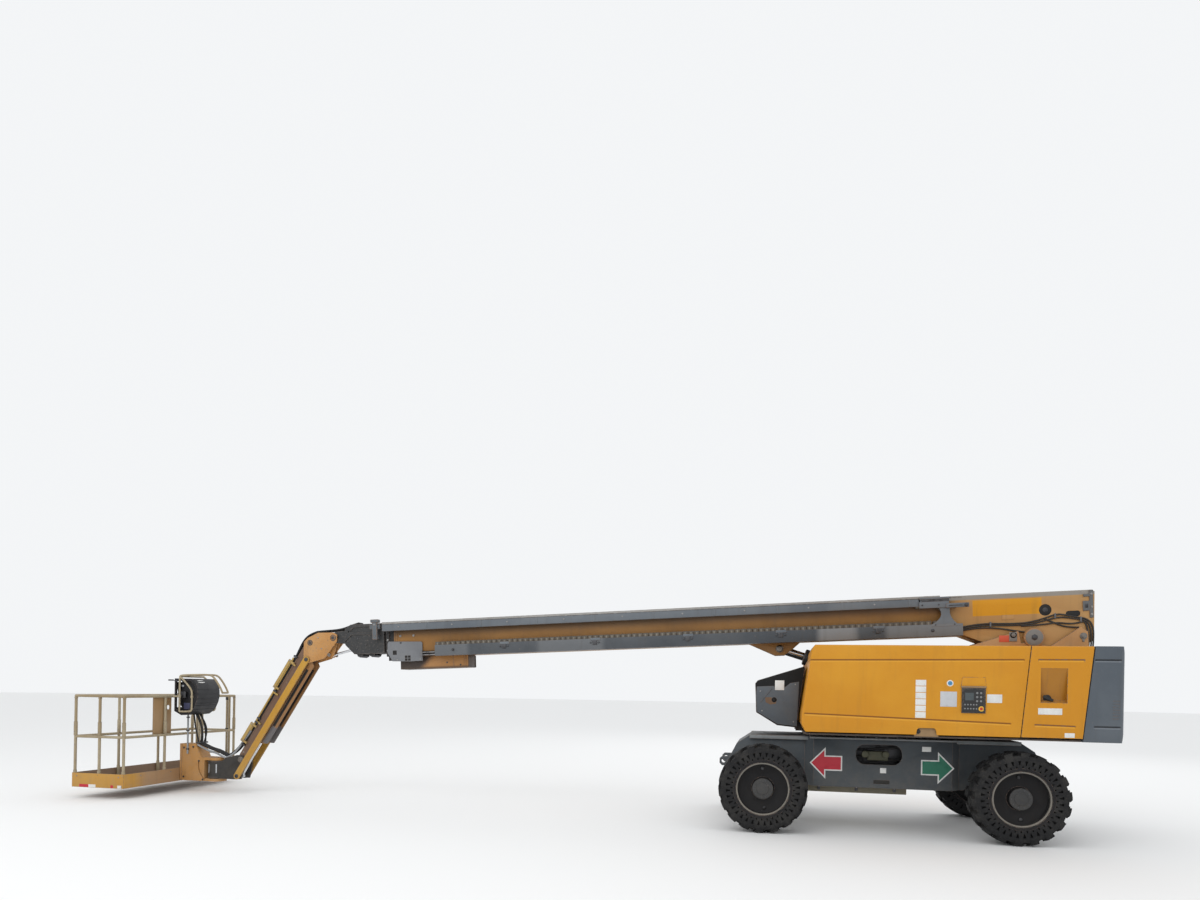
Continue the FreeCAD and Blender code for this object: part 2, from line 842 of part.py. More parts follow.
for (end, hand), place in wheel_frames.items():
    tyre = body("Tyre" + end.capitalize() + hand.capitalize())
    revolve(tyre, tyre_outline())
    node(tyre, "tyre_%s_%s" % (end, hand), place)
    rim = body("Rim" + end.capitalize() + hand.capitalize())
    revolve(rim, rim_outline(1 if hand == "left" else -1))
    node(rim, "rim_%s_%s" % (end, hand), place)

fixed_x = "-wheelbase / 2"
steer_x = "wheelbase / 2"


def axle_beam(middle, half_span):
    """The square beam and the two pads that carry the chassis."""
    low = (middle + " - axle_beam / 2", "-(" + half_span + ")", "axle_height - axle_beam / 2")
    high = (middle + " + axle_beam / 2", half_span, "axle_height + axle_beam / 2")
    pieces = [box(low, high)]
    for side in ("1", "-1"):
        centre = side + " * axle_pad_middle"
        low = (middle + " - axle_beam", centre + " - axle_pad_half_width", "axle_height + axle_beam / 2")
        high = (middle + " + axle_beam", centre + " + axle_pad_half_width", "chassis_end_bottom")
        pieces.append(box(low, high))
    return pieces


fixed_pieces = axle_beam(fixed_x, "axle_half_span + axle_end_reach")
fixed_pieces.append(ball((fixed_x, "0", "axle_height"), "chassis_end_bottom - axle_height - 5"))
fixed_pieces.append(rod((fixed_x, "-spindle_end", "axle_height"), "spindle_radius", "2 * spindle_end", "Y"))
for sign in ("-", ""):
    start = sign + "(axle_half_span + axle_end_reach + axle_flange / 2) - axle_flange / 2"
    fixed_pieces.append(rod((fixed_x, start, "axle_height"), "2 * spindle_radius", "axle_flange", "Y"))
node(fuse(*fixed_pieces), "fixed_axle", machine)

steer_pieces = axle_beam(steer_x, "axle_half_span - web_inset - fork_web / 2")
for sign in ("-", ""):
    middle = sign + "kingpin_offset"
    for level in ("1", "-1"):
        centre = "axle_height + %s * (knuckle_half_height + knuckle_gap + fork_thickness / 2)" % level
        inner_edge = sign + "(axle_half_span - fork_web - web_inset)"
        outer_edge = sign + "(kingpin_offset + 0.6 * kingpin_radius)"
        near, far = (outer_edge, inner_edge) if sign else (inner_edge, outer_edge)
        low = (steer_x + " - axle_beam / 2", near, centre + " - fork_thickness / 2")
        high = (steer_x + " + axle_beam / 2", far, centre + " + fork_thickness / 2")
        steer_pieces.append(box(low, high))
    web_low = sign + "(axle_half_span - web_inset - fork_web / 2) - fork_web / 2"
    low_corner = (steer_x + " - axle_beam / 2", web_low, "axle_height - knuckle_half_height - knuckle_gap")
    web_high = web_low + " + fork_web"
    high_corner = (steer_x + " + axle_beam / 2", web_high, "axle_height + knuckle_half_height + knuckle_gap")
    steer_pieces.append(box(low_corner, high_corner))
    kingpin_low = "axle_height - knuckle_half_height - knuckle_gap - fork_thickness"
    kingpin_length = "2 * (knuckle_half_height + knuckle_gap + fork_thickness)"
    steer_pieces.append(rod((steer_x, middle, kingpin_low), "kingpin_radius", kingpin_length))
tie_rod_start = (steer_x + " + tie_rod_behind", "-tie_rod_half_length", "axle_height")
steer_pieces.append(rod(tie_rod_start, "tie_rod_radius", "2 * tie_rod_half_length", "Y"))
for side in ("1", "-1"):
    centre = side + " * tie_rod_lug_middle"
    low = (steer_x, centre + " - tie_rod_lug_half_width", "axle_height - tie_rod_lug_half_height")
    far = steer_x + " + tie_rod_behind + 15"
    high = (far, centre + " + tie_rod_lug_half_width", "axle_height + tie_rod_lug_half_height")
    steer_pieces.append(box(low, high))
node(fuse(*steer_pieces), "steer_axle", machine)

for hand, sign in (("right", "-"), ("left", "")):
    kingpin_place = (steer_x, sign + "kingpin_offset", "axle_height")
    place = frame("Steer" + hand.capitalize() + "Frame", machine, kingpin_place)
    block = rod(("0", "0", "-knuckle_half_height"), "knuckle_radius", "2 * knuckle_half_height")
    length = "spindle_end - kingpin_offset - knuckle_radius / 2"
    spindle_start = "-(spindle_end - kingpin_offset)" if sign else "knuckle_radius / 2"
    spindle = rod(("0", spindle_start, "0"), "spindle_radius", length, "Y")
    collar_start = sign + "(knuckle_radius + collar_middle) - collar_width / 2"
    collar = rod(("0", collar_start, "0"), "1.5 * spindle_radius", "collar_width", "Y")
    arm_low = ("-steer_arm_length", "-steer_arm_half_width", "knuckle_half_height - steer_arm_height")
    arm = box(arm_low, ("0", "steer_arm_half_width", "knuckle_half_height"))
    bore_radius = "kingpin_radius + pin_clearance"
    bore = rod(("0", "0", "-knuckle_half_height"), bore_radius, "2 * knuckle_half_height")
    node(cut(fuse(block, spindle, collar, arm), bore), "steering_knuckle_" + hand, place)


# ---------------------------------------------------------------- turntable

turntable = body("TurntableFrame")
deck = [
    ("deck_low_end", "-deck_half_width + deck_corner"),
    ("deck_low_end + deck_corner", "-deck_half_width"),
    ("deck_high_end", "-deck_half_width"),
    ("deck_high_end", "deck_half_width"),
    ("deck_low_end + deck_corner", "deck_half_width"),
    ("deck_low_end", "deck_half_width - deck_corner"),
]
pad(turntable, "XY_Plane", [deck], "deck_plate", "deck_bottom")
cheek = [
    ("nose_plane_low", "deck_bottom"),
    ("nose_plane_high", "nose_plane_top"),
    ("nose_plane_high + 0.6 * cheek_front_bend", "cheek_top - cheek_front_bend"),
    ("nose_plane_high + 1.6 * cheek_front_bend", "cheek_top"),
    ("front_tower_along - cheek_front_run", "cheek_top"),
    ("front_tower_along", "front_tower_up"),
    ("front_tower_along + 35", "pivot_up - 70"),
    ("pivot_along", "pivot_up - 40"),
    ("rear_tower_along - 340", "pivot_up - 110"),
    ("rear_tower_along", "rear_tower_up"),
    ("rear_tower_along + 80", "rear_tower_up - 60"),
    ("rear_tower_along + cheek_rear_reach", "rear_tower_up - 300"),
    ("rear_tower_along + cheek_rear_reach", "slot_floor + slot_clearance"),
    ("deck_high_end", "slot_floor + slot_clearance"),
    ("deck_high_end", "deck_bottom"),
]
boss = [("circle", "pivot_along", "pivot_up", "pivot_boss_radius")]
lift_lug = [
    ("lift_base_along - lift_lug_foot", "deck_bottom"),
    ("lift_base_along + lift_lug_foot", "deck_bottom"),
    ("lift_base_along + lift_lug_half_width", "lift_base_up + 30"),
    ("lift_base_along + 40", "lift_base_up + lift_lug_half_width"),
    ("lift_base_along - 40", "lift_base_up + lift_lug_half_width"),
    ("lift_base_along - lift_lug_half_width", "lift_base_up + 30"),
]
for start, boss_start, lug_start in (
    ("cheek_inner", "cheek_inner", "lift_eye_half_width + lug_gap"),
    ("-cheek_inner - cheek_plate", "-cheek_inner - cheek_plate - pivot_boss_thickness",
     "-lift_eye_half_width - lug_gap - lug_plate"),
):
    pad(turntable, "XZ_Plane", [cheek], "cheek_plate", start)
    pad(turntable, "XZ_Plane", boss, "cheek_plate + pivot_boss_thickness", boss_start)
    pad(turntable, "XZ_Plane", [lift_lug], "lug_plate", lug_start)
pad(turntable, "XZ_Plane", [("circle", "pivot_along", "pivot_up", "pivot_pin_radius")],
    "2 * (cheek_inner + cheek_plate)")
pad(turntable, "XZ_Plane", [("circle", "lift_base_along", "lift_base_up", "lift_pin_radius")],
    "2 * (lift_eye_half_width + lug_gap + lug_plate)")
bulkhead = [
    ("-cheek_inner", "deck_bottom"),
    ("cheek_inner", "deck_bottom"),
    ("cheek_inner", "slot_floor + bulkhead_rise"),
    ("-cheek_inner", "slot_floor + bulkhead_rise"),
]
pad(turntable, "YZ_Plane", [bulkhead], "cheek_plate", "deck_low_end + bulkhead_front_inset")
pad(turntable, "YZ_Plane", [bulkhead], "cheek_plate", "pivot_along - bulkhead_rear_inset")
node(turntable, "turntable_frame", machine)


weight = body("Counterweight")
weight_outline = [
    ("seam_two_low + seam_gap", "deck_bottom"),
    ("seam_two_high + seam_gap + 4", "hood_top"),
    ("counterweight_rear - weight_edge + 5", "hood_top"),
    ("counterweight_rear", "hood_top - weight_top_slope"),
    ("counterweight_rear", "deck_bottom + weight_foot_slope"),
    ("counterweight_rear - weight_edge", "deck_bottom"),
]
pad(weight, "XZ_Plane", [weight_outline], "2 * hood_half_width")
slot = [
    ("seam_two_low - 100", "-slot_half_width"),
    ("counterweight_rear + 100", "-slot_half_width"),
    ("counterweight_rear + 100", "slot_half_width"),
    ("seam_two_low - 100", "slot_half_width"),
]
pocket(weight, "XY_Plane", [slot], "hood_top - slot_floor + 50", "slot_floor")
rear_corners = [("counterweight_rear", side + "hood_half_width") for side in ("", "-")]
round_edges(weight, "counterweight_corner", "Z", rear_corners)
node(weight, "counterweight", machine)

nose = body("FrontCover")
nose_outline = [
    ("nose_plane_low", "deck_bottom + nose_foot"),
    ("nose_plane_high", "nose_plane_top"),
    ("nose_tip + nose_lip", "nose_plane_top - nose_brow"),
    ("nose_tip", "nose_plane_top - nose_bridge"),
    ("nose_tip + 17", "deck_bottom + nose_chin"),
    ("nose_tip + nose_chin_run", "deck_bottom + nose_chin_rise"),
]
nose_well = [
    ("nose_plane_low + 50", "deck_bottom + nose_foot + nose_wall"),
    ("nose_plane_high + 50", "nose_plane_top + 8"),
    ("nose_plane_high - nose_wall", "nose_plane_top - nose_wall - 3"),
    ("nose_tip + nose_lip + nose_wall", "nose_plane_top - nose_brow - nose_wall"),
    ("nose_tip + nose_wall", "nose_plane_top - nose_bridge - 5"),
    ("nose_tip + 17 + nose_wall", "deck_bottom + nose_chin + 5"),
    ("nose_tip + nose_chin_run + 3", "deck_bottom + nose_chin_rise + 1 + nose_wall"),
]
pad(nose, "XZ_Plane", [nose_outline], "2 * nose_half_width")
pocket(nose, "XZ_Plane", [nose_well], "2 * (nose_half_width - nose_wall)")
node(nose, "front_cover", machine)

engine_high = ("engine_low_end + engine_length", "engine_inboard + engine_width", "deck_top + engine_height")
node(box(("engine_low_end", "engine_inboard", "deck_top"), engine_high), "engine_block", machine)


hood_outline = [
    ("nose_plane_low + nose_gap + hood_nose_bend", "hood_bottom"),
    ("nose_plane_low + nose_gap", "hood_bottom + hood_foot_rise"),
    ("nose_plane_low + nose_gap", "hood_bottom + hood_face_rise"),
    ("nose_plane_high + nose_gap + 8", "hood_top - hood_top_bend"),
    ("nose_plane_high + nose_gap + hood_nose_bend", "hood_top"),
    ("seam_one_high", "hood_top"),
    ("seam_one_low", "hood_bottom"),
]
hood_well = [
    ("nose_plane_low + nose_gap + hood_nose_bend + hood_wall", "hood_bottom - 20"),
    ("nose_plane_low + nose_gap + hood_wall", "hood_bottom + hood_foot_rise"),
    ("nose_plane_low + nose_gap + hood_wall", "hood_bottom + hood_face_rise - 1"),
    ("nose_plane_high + nose_gap + 8 + hood_wall", "hood_top - hood_top_bend - 3"),
    ("nose_plane_high + nose_gap + hood_nose_bend + 3 + hood_wall / 2", "hood_top - hood_wall"),
    ("seam_one_high + 100", "hood_top - hood_wall"),
    ("seam_one_low + 100", "hood_bottom - 20"),
]
door_outline = [
    ("seam_one_low + seam_gap", "hood_bottom"),
    ("seam_one_high + seam_gap", "hood_top"),
    ("seam_two_high", "hood_top"),
    ("seam_two_low + 4", "hood_bottom"),
]
door_well = [
    ("seam_one_low - 100", "hood_bottom - 20"),
    ("seam_one_high - 100", "hood_top - hood_wall"),
    ("seam_two_high + 100", "hood_top - hood_wall"),
    ("seam_two_low + 100", "hood_bottom - 20"),
]
for hand, outer in (("right", "hood_inner_edge"), ("left", "-hood_half_width")):
    for kind, outline, well in (("hood", hood_outline, hood_well), ("rear_door", door_outline, door_well)):
        cover = body(hand.capitalize() + kind.title().replace("_", ""))
        pad(cover, "XZ_Plane", [outline], "hood_half_width - hood_inner_edge", outer)
        well_start = outer + " - 50" if hand == "right" else outer + " + hood_wall"
        pocket(cover, "XZ_Plane", [well], "hood_half_width - hood_inner_edge + 50 - hood_wall", well_start)
        place = [("-hood_half_width" if hand == "right" else "hood_half_width", "hood_top")]
        round_edges(cover, "hood_edge_radius", "X", place)
        node(cover, hand + "_" + kind, machine)

panel_low = ("panel_low_end", "-hood_half_width - panel_thickness", "panel_bottom")
panel_high = ("panel_low_end + panel_width", "-hood_half_width", "panel_bottom + panel_height")
node(box(panel_low, panel_high), "ground_control_panel", machine)


# ---------------------------------------------------------------- boom

boom = frame("BoomFrame", machine, ("pivot_along", "0", "pivot_up"), "-boom_droop")
base_boom = body("BaseBoom")
boom_outline = [
    ("boom_front", "boom_floor"),
    ("boom_root", "boom_floor"),
    ("boom_root + tail_slope", "tail_floor"),
    ("tail_end - tail_foot", "tail_floor"),
    ("tail_end - 10", "tail_floor + tail_heel"),
    ("tail_end + tail_lean", "boom_roof - 23"),
    ("tail_end - 20", "boom_roof"),
    ("boom_front", "boom_roof"),
]
pad(base_boom, "XZ_Plane", [boom_outline], "2 * boom_half_width")
boom_bore = [
    ("boom_front - 50", "boom_floor + boom_wall"),
    ("tail_end - 140", "boom_floor + boom_wall"),
    ("tail_end - 140", "boom_roof - boom_wall"),
    ("boom_front - 50", "boom_roof - boom_wall"),
]
pocket(base_boom, "XZ_Plane", [boom_bore], "2 * (boom_half_width - boom_wall)")
pivot_hole = [("circle", "0", "0", "pivot_pin_radius + pin_clearance")]
pocket(base_boom, "XZ_Plane", pivot_hole, "3 * boom_half_width")
round_hole = [("circle", "boom_hole_along", "boom_hole_up", "boom_hole_radius")]
pocket(base_boom, "XZ_Plane", round_hole, "3 * boom_half_width")
window = [
    ("boom_window_along", "boom_window_floor"),
    ("boom_window_along + boom_window_length", "boom_window_floor"),
    ("boom_window_along + boom_window_length", "boom_window_floor + boom_window_height"),
    ("boom_window_along", "boom_window_floor + boom_window_height"),
]
pocket(base_boom, "XZ_Plane", [window], "3 * boom_half_width")
round_edges(base_boom, "boom_window_corner", "Y", window)
boom_lug = [
    ("lift_eye_along - boom_lug_run", "boom_floor"),
    ("lift_eye_along - 140", "lift_eye_up - 45"),
    ("lift_eye_along - 60", "lift_eye_up - boom_lug_rise"),
    ("lift_eye_along + 60", "lift_eye_up - boom_lug_rise"),
    ("lift_eye_along + 150", "lift_eye_up - 20"),
    ("lift_eye_along + 270", "boom_floor"),
]
cap = [("circle", "lift_eye_along", "lift_eye_up", "1.4 * lift_pin_radius")]
for start, cap_start in (
    ("lift_eye_half_width + lug_gap", "lift_eye_half_width + lug_gap + lug_plate"),
    ("-lift_eye_half_width - lug_gap - lug_plate", "-lift_eye_half_width - lug_gap - lug_plate - lug_cap"),
):
    pad(base_boom, "XZ_Plane", [boom_lug], "lug_plate", start)
    pad(base_boom, "XZ_Plane", cap, "lug_cap", cap_start)
node(base_boom, "base_boom", boom)

box_low = ("front_box_low_end", "-front_box_half_width", "boom_floor - front_box_depth")
box_high = ("front_box_low_end + front_box_length", "front_box_half_width", "boom_floor")
node(box(box_low, box_high), "boom_front_box", boom)

guide = body("BoomGuidePlate")
guide_outline = [
    ("boom_front - guide_overhang", "guide_floor + guide_corner"),
    ("boom_front + 20", "guide_floor"),
    ("boom_front + guide_length - guide_overhang", "guide_floor"),
    ("boom_front + guide_length - guide_overhang", "guide_roof"),
    ("boom_front - guide_overhang", "guide_roof"),
]
pad(guide, "XZ_Plane", [guide_outline], "guide_plate", "boom_half_width")
window_start = "boom_front + guide_window_along"
window = [
    (window_start, "guide_window_floor"),
    (window_start + " + guide_window_size", "guide_window_floor"),
    (window_start + " + guide_window_size", "guide_window_floor + guide_window_size"),
    (window_start, "guide_window_floor + guide_window_size"),
]
pocket(guide, "XZ_Plane", [window], "4 * guide_plate", "boom_half_width - guide_plate")
node(guide, "boom_guide_plate", boom)

trough = body("ChainTrough")
trough_section = [
    ("-boom_half_width - trough_width", "trough_floor"),
    ("-boom_half_width", "trough_floor"),
    ("-boom_half_width", "trough_floor + trough_depth"),
    ("-boom_half_width - trough_width", "trough_floor + trough_depth"),
]
trough_well = [
    ("-boom_half_width - trough_width + trough_wall", "trough_floor + trough_wall"),
    ("-boom_half_width - trough_wall", "trough_floor + trough_wall"),
    ("-boom_half_width - trough_wall", "trough_floor + trough_depth + 20"),
    ("-boom_half_width - trough_width + trough_wall", "trough_floor + trough_depth + 20"),
]
pad(trough, "YZ_Plane", [trough_section], "trough_high_end - trough_low_end", "trough_low_end")
pocket(trough, "YZ_Plane", [trough_well], "trough_high_end - trough_low_end + 20", "trough_low_end - 10")
node(trough, "chain_trough", boom)

chain = body("EnergyChain")
chain_run = [
    ("trough_low_end + 20", "chain_floor"),
    ("chain_middle + 30", "chain_floor"),
    ("chain_middle + 30", "chain_floor + chain_height"),
    ("trough_low_end + 20", "chain_floor + chain_height"),
]
bend = [("circle", "chain_middle", "chain_floor + chain_bend_radius", "chain_bend_radius")]
eye = [("circle", "chain_middle", "chain_floor + chain_bend_radius", "chain_bend_bore")]
above = [
    ("chain_middle - chain_bend_radius - 50", "chain_floor + chain_height"),
    ("chain_middle", "chain_floor + chain_height"),
    ("chain_middle", "chain_floor + 2 * chain_bend_radius + 50"),
    ("chain_middle - chain_bend_radius - 50", "chain_floor + 2 * chain_bend_radius + 50"),
]
pad(chain, "XZ_Plane", bend, "chain_width", "chain_side")
pocket(chain, "XZ_Plane", [above], "chain_width + 20", "chain_side - 10")
pocket(chain, "XZ_Plane", eye, "chain_width + 20", "chain_side - 10")
pad(chain, "XZ_Plane", [chain_run], "chain_width", "chain_side")
node(chain, "energy_chain", boom)

mid_boom = body("MidBoom")


def tube_outline(low, high, floor, roof):
    """A rectangle along the boom."""
    return [(low, floor), (high, floor), (high, roof), (low, roof)]


mid_tube = tube_outline("mid_front", "mid_rear", "mid_floor", "mid_roof")
pad(mid_boom, "XZ_Plane", [mid_tube], "2 * mid_half_width")
collar_low = "mid_front - collar_thickness / 2"
collar_high = "mid_front + collar_thickness / 2"
collar = tube_outline(collar_low, collar_high, "mid_floor - collar_drop", "mid_roof + collar_rise")
pad(mid_boom, "XZ_Plane", [collar], "2 * (mid_half_width + collar_proud)")
inside = tube_outline("mid_front - 50", "mid_rear + 50", "mid_floor + mid_wall", "mid_roof - mid_wall")
pocket(mid_boom, "XZ_Plane", [inside], "2 * (mid_half_width - mid_wall)")
node(mid_boom, "mid_boom", boom)

tube_start = ("mid_front - 40", "-hose_tube_side", "hose_tube_up")
hose_tube = rod(tube_start, "hose_tube_radius", "chain_middle - mid_front - 20", "X")
hose_ear = box(("mid_front - collar_thickness / 2", "-hose_tube_side", "hose_tube_up - 45"),
               ("mid_front + collar_thickness / 2", "-mid_half_width - collar_proud", "hose_tube_up + 20"))
node(fuse(hose_tube, hose_ear), "hose_tube", boom)

fly_boom = body("FlyBoom")
fly_tube = tube_outline("fly_front", "fly_rear", "fly_floor", "fly_roof")
pad(fly_boom, "XZ_Plane", [fly_tube], "2 * fly_half_width")
inside = tube_outline("fly_front - 50", "fly_rear + 50", "fly_floor + fly_wall", "fly_roof - fly_wall")
pocket(fly_boom, "XZ_Plane", [inside], "2 * (fly_half_width - fly_wall)")
node(fly_boom, "fly_boom", boom)

head = body("BoomHead")
head_outline = [
    ("fly_front", "head_floor"),
    ("head_front + head_nose_slope", "head_floor"),
    ("head_front", "head_floor + head_nose_slope"),
    ("head_front", "head_roof - head_brow"),
    ("head_front + head_brow_run", "head_roof"),
    ("fly_front", "head_roof"),
]
pad(head, "XZ_Plane", [head_outline], "2 * head_half_width")
level_slot_end = "level_base_along + 60"
level_slot = tube_outline("head_front - 50", level_slot_end, "head_floor - 20", "head_roof - level_slot_roof")
pocket(head, "XZ_Plane", [level_slot], "2 * level_slot_half_width")
neck = [
    ("head_front + neck_root", "head_roof - 75"),
    ("head_front + neck_root", "head_floor + 150"),
    ("neck_pin_along + neck_root", "neck_pin_up - neck_eye_radius"),
    ("neck_pin_along - neck_flat", "neck_pin_up - neck_eye_radius + neck_chamfer"),
    ("neck_pin_along - neck_eye_radius", "neck_pin_up"),
    ("neck_pin_along - neck_flat", "neck_pin_up + neck_eye_radius - neck_chamfer"),
    ("neck_pin_along + neck_root", "neck_pin_up + neck_eye_radius + 14"),
]
for start in ("neck_inner", "-neck_inner - neck_plate"):
    pad(head, "XZ_Plane", [neck], "neck_plate", start)
neck_hole = [("circle", "neck_pin_along", "neck_pin_up", "neck_pin_radius + pin_clearance")]
pocket(head, "XZ_Plane", neck_hole, "3 * head_half_width")
level_pin = [("circle", "level_base_along", "level_base_up", "level_pin_radius")]
pad(head, "XZ_Plane", level_pin, "2 * head_half_width")
node(head, "boom_head", boom)


# ---------------------------------------------------------------- lift cylinder

lift = frame("LiftFrame", machine, ("lift_base_along", "0", "lift_base_up"), "-lift_angle")


def barrel(reach, radius, bore, floor, eye_radius, eye_half_width, pin_radius, neck):
    """A cylinder barrel along +X with a flat-sided neck and a round eye at its own origin."""
    shell = rod((neck, "0", "0"), radius, "(%s) - (%s)" % (reach, neck), "X")
    neck_low = ("0", "-(%s)" % eye_half_width, "-0.7 * (%s)" % eye_radius)
    neck_high = (neck + " + 5", eye_half_width, "0.7 * (%s)" % eye_radius)
    neck_block = box(neck_low, neck_high)
    eye_disc = rod(("0", "-(%s)" % eye_half_width, "0"), eye_radius, "2 * (%s)" % eye_half_width, "Y")
    hole = rod((floor, "0", "0"), bore, reach, "X")
    pin_hole = rod(("0", "-2 * (%s)" % eye_half_width, "0"), pin_radius, "4 * (%s)" % eye_half_width, "Y")
    return cut(fuse(shell, neck_block, eye_disc), hole, pin_hole)


def piston_rod(length, radius, start, eye_radius, eye_half_width, pin_radius, pin_half_width):
    """A rod along +X that ends in an eye and its own pin."""
    shaft = rod((start, "0", "0"), radius, "(%s) - (%s) - (%s) * 0.5" % (length, start, eye_radius), "X")
    eye_disc = rod((length, "-(%s)" % eye_half_width, "0"), eye_radius, "2 * (%s)" % eye_half_width, "Y")
    pin = rod((length, "-(%s)" % pin_half_width, "0"), pin_radius, "2 * (%s)" % pin_half_width, "Y")
    return fuse(shaft, eye_disc, pin)


node(barrel("lift_barrel_reach", "lift_barrel_radius", "lift_rod_radius + rod_clearance",
            "piston_gap - piston_head", "lift_eye_radius", "lift_eye_half_width",
            "lift_pin_radius + pin_clearance", "lift_neck"), "lift_cylinder", lift)
node(piston_rod("lift_length", "lift_rod_radius", "piston_gap", "lift_eye_radius", "lift_eye_half_width",
                "lift_pin_radius", "lift_eye_half_width + lug_gap - 5"), "lift_rod", lift)


# ---------------------------------------------------------------- jib bracket and level cylinder

bracket_frame = frame("BracketFrame", machine, ("neck_x", "0", "neck_z"))
bracket = body("JibBracket")
bracket_outline = [
    ("bracket_heel", "0.6 * bracket_crown"),
    ("bracket_heel", "-0.65 * bracket_crown"),
    ("bracket_foot_along", "bracket_foot_up"),
    ("jib_pin_along + link_offset_along + 20", "jib_pin_up + link_offset_up - 55"),
    ("jib_pin_along + link_offset_along - 50", "jib_pin_up + link_offset_up - 35"),
    ("jib_pin_along + link_offset_along - 60", "jib_pin_up + link_offset_up + 40"),
    ("jib_pin_along - 100", "jib_pin_up + 10"),
    ("jib_pin_along - 40", "jib_pin_up + 70"),
    ("1.85 * bracket_foot_along", "bracket_crown - 3"),
    ("0", "bracket_crown"),
]
for start in ("bracket_inner", "-bracket_inner - bracket_plate"):
    pad(bracket, "XZ_Plane", [bracket_outline], "bracket_plate", start)
bracket_pin_length = "2 * (bracket_inner + bracket_plate + pin_head)"
pad(bracket, "XZ_Plane", [("circle", "0", "0", "neck_pin_radius")], bracket_pin_length)
pad(bracket, "XZ_Plane", [("circle", "0", "0", "neck_pin_radius + level_collar")], "2 * level_hub_half_width")
pad(bracket, "XZ_Plane", [("circle", "jib_pin_along", "jib_pin_up", "jib_pin_radius")], bracket_pin_length)
level_lug = [
    ("-0.64 * bracket_crown", "0.38 * bracket_crown"),
    ("0.64 * bracket_crown", "0.13 * bracket_crown"),
    ("level_eye_along + 38", "level_eye_up - 10"),
    ("level_eye_along", "level_eye_up - 40"),
    ("level_eye_along - 38", "level_eye_up - 10"),
]
for start in ("level_lug_inner", "-level_lug_inner - level_lug_plate"):
    pad(bracket, "XZ_Plane", [level_lug], "level_lug_plate", start)
link_pin_along = "jib_pin_along + link_offset_along"
link_stub = [("circle", link_pin_along, "jib_pin_up + link_offset_up", "link_pin_radius")]
for start in ("bracket_inner", "-link_inner - link_plate - stub_proud"):
    pad(bracket, "XZ_Plane", link_stub, "bracket_plate + link_gap + link_plate + stub_proud", start)
node(bracket, "jib_bracket", bracket_frame)

level = frame("LevelFrame", machine, ("level_base_x", "0", "level_base_z"), "-level_angle")
node(barrel("level_barrel_reach", "level_barrel_radius", "level_rod_radius + rod_clearance",
            "level_piston_gap - piston_head", "level_eye_radius", "level_slot_half_width - 8",
            "level_pin_radius + pin_clearance", "level_eye_radius"), "level_cylinder", level)
node(piston_rod("level_length", "level_rod_radius", "level_piston_gap + level_stroke",
                "0.75 * level_eye_radius", "level_eye_half_width - 4", "0.6 * level_pin_radius",
                "level_eye_half_width"), "level_rod", level)


# ---------------------------------------------------------------- jib

jib = frame("JibFrame", bracket_frame, ("jib_pin_along", "0", "jib_pin_up"), "-jib_droop")
beam = body("JibBeam")
beam_outline = [
    ("jib_eye_reach", "-jib_eye_radius"),
    ("jib_eye_reach", "jib_eye_radius"),
    ("-60", "jib_back"),
    ("-jib_length + 60", "jib_back"),
    ("-jib_length - jib_eye_reach", "jib_eye_radius"),
    ("-jib_length - jib_eye_reach", "-jib_eye_radius"),
    ("-jib_length + jib_nose_length", "-jib_eye_radius"),
    ("-jib_length + jib_nose_length + jib_nose_slope", "-jib_front"),
    ("-140 - jib_tail_slope", "-jib_front"),
    ("-140", "-jib_eye_radius"),
]
beam_well = [
    ("60", "-jib_front - 20"),
    ("60", "jib_eye_radius + 20"),
    ("10", "jib_back - jib_wall"),
    ("-jib_length - 10", "jib_back - jib_wall"),
    ("-jib_length - 60", "jib_eye_radius + 20"),
    ("-jib_length - 60", "-jib_front - 20"),
]
pad(beam, "XZ_Plane", [beam_outline], "2 * jib_half_width")
pocket(beam, "XZ_Plane", [beam_well], "2 * (jib_half_width - jib_wall)")
beam_holes = [("circle", along, "0", "jib_pin_radius + pin_clearance") for along in ("0", "-jib_length")]
pocket(beam, "XZ_Plane", beam_holes, "3 * jib_half_width")
node(beam, "jib_beam", jib)

guard_up = "jib_back + jib_guard_radius + jib_guard_gap"
guard_start = ("-jib_length * jib_guard_start", "-jib_half_width - jib_guard_radius", guard_up)
guard_tube = rod(guard_start, "jib_guard_radius", "jib_length * jib_guard_share", "X")
guard_feet = []
for share in ("0.2", "0.45", "0.7"):
    foot_middle = "-jib_length * " + share
    foot_low = (foot_middle + " - jib_guard_foot", "-jib_half_width - jib_guard_radius - 8", "jib_back - 50")
    guard_feet.append(box(foot_low, (foot_middle + " + jib_guard_foot", "-jib_half_width", guard_up)))
node(fuse(guard_tube, *guard_feet), "jib_hose_guard", jib)

links = frame("LinkFrame", bracket_frame,
              ("jib_pin_along + link_offset_along", "0", "jib_pin_up + link_offset_up"), "-jib_droop")


def link_bar(start):
    """One flat bar with round ends and a bore at each end."""
    low = ("-jib_length", start, "-link_width / 2")
    high = ("0", start + " + link_plate", "link_width / 2")
    ends = [rod((along, start, "0"), "link_width / 2", "link_plate", "Y") for along in ("0", "-jib_length")]
    bore = "link_pin_radius + pin_clearance"
    holes = [rod((along, start, "0"), bore, "link_plate", "Y") for along in ("0", "-jib_length")]
    return cut(fuse(box(low, high), *ends), *holes)


node(group(link_bar("link_inner"), link_bar("-link_inner - link_plate")), "jib_links", links)

knuckle_along = "jib_pin_along - jib_length * cos(jib_droop)"
knuckle_place = (knuckle_along, "0", "jib_pin_up - jib_length * sin(jib_droop)")
knuckle_frame = frame("KnuckleFrame", bracket_frame, knuckle_place)

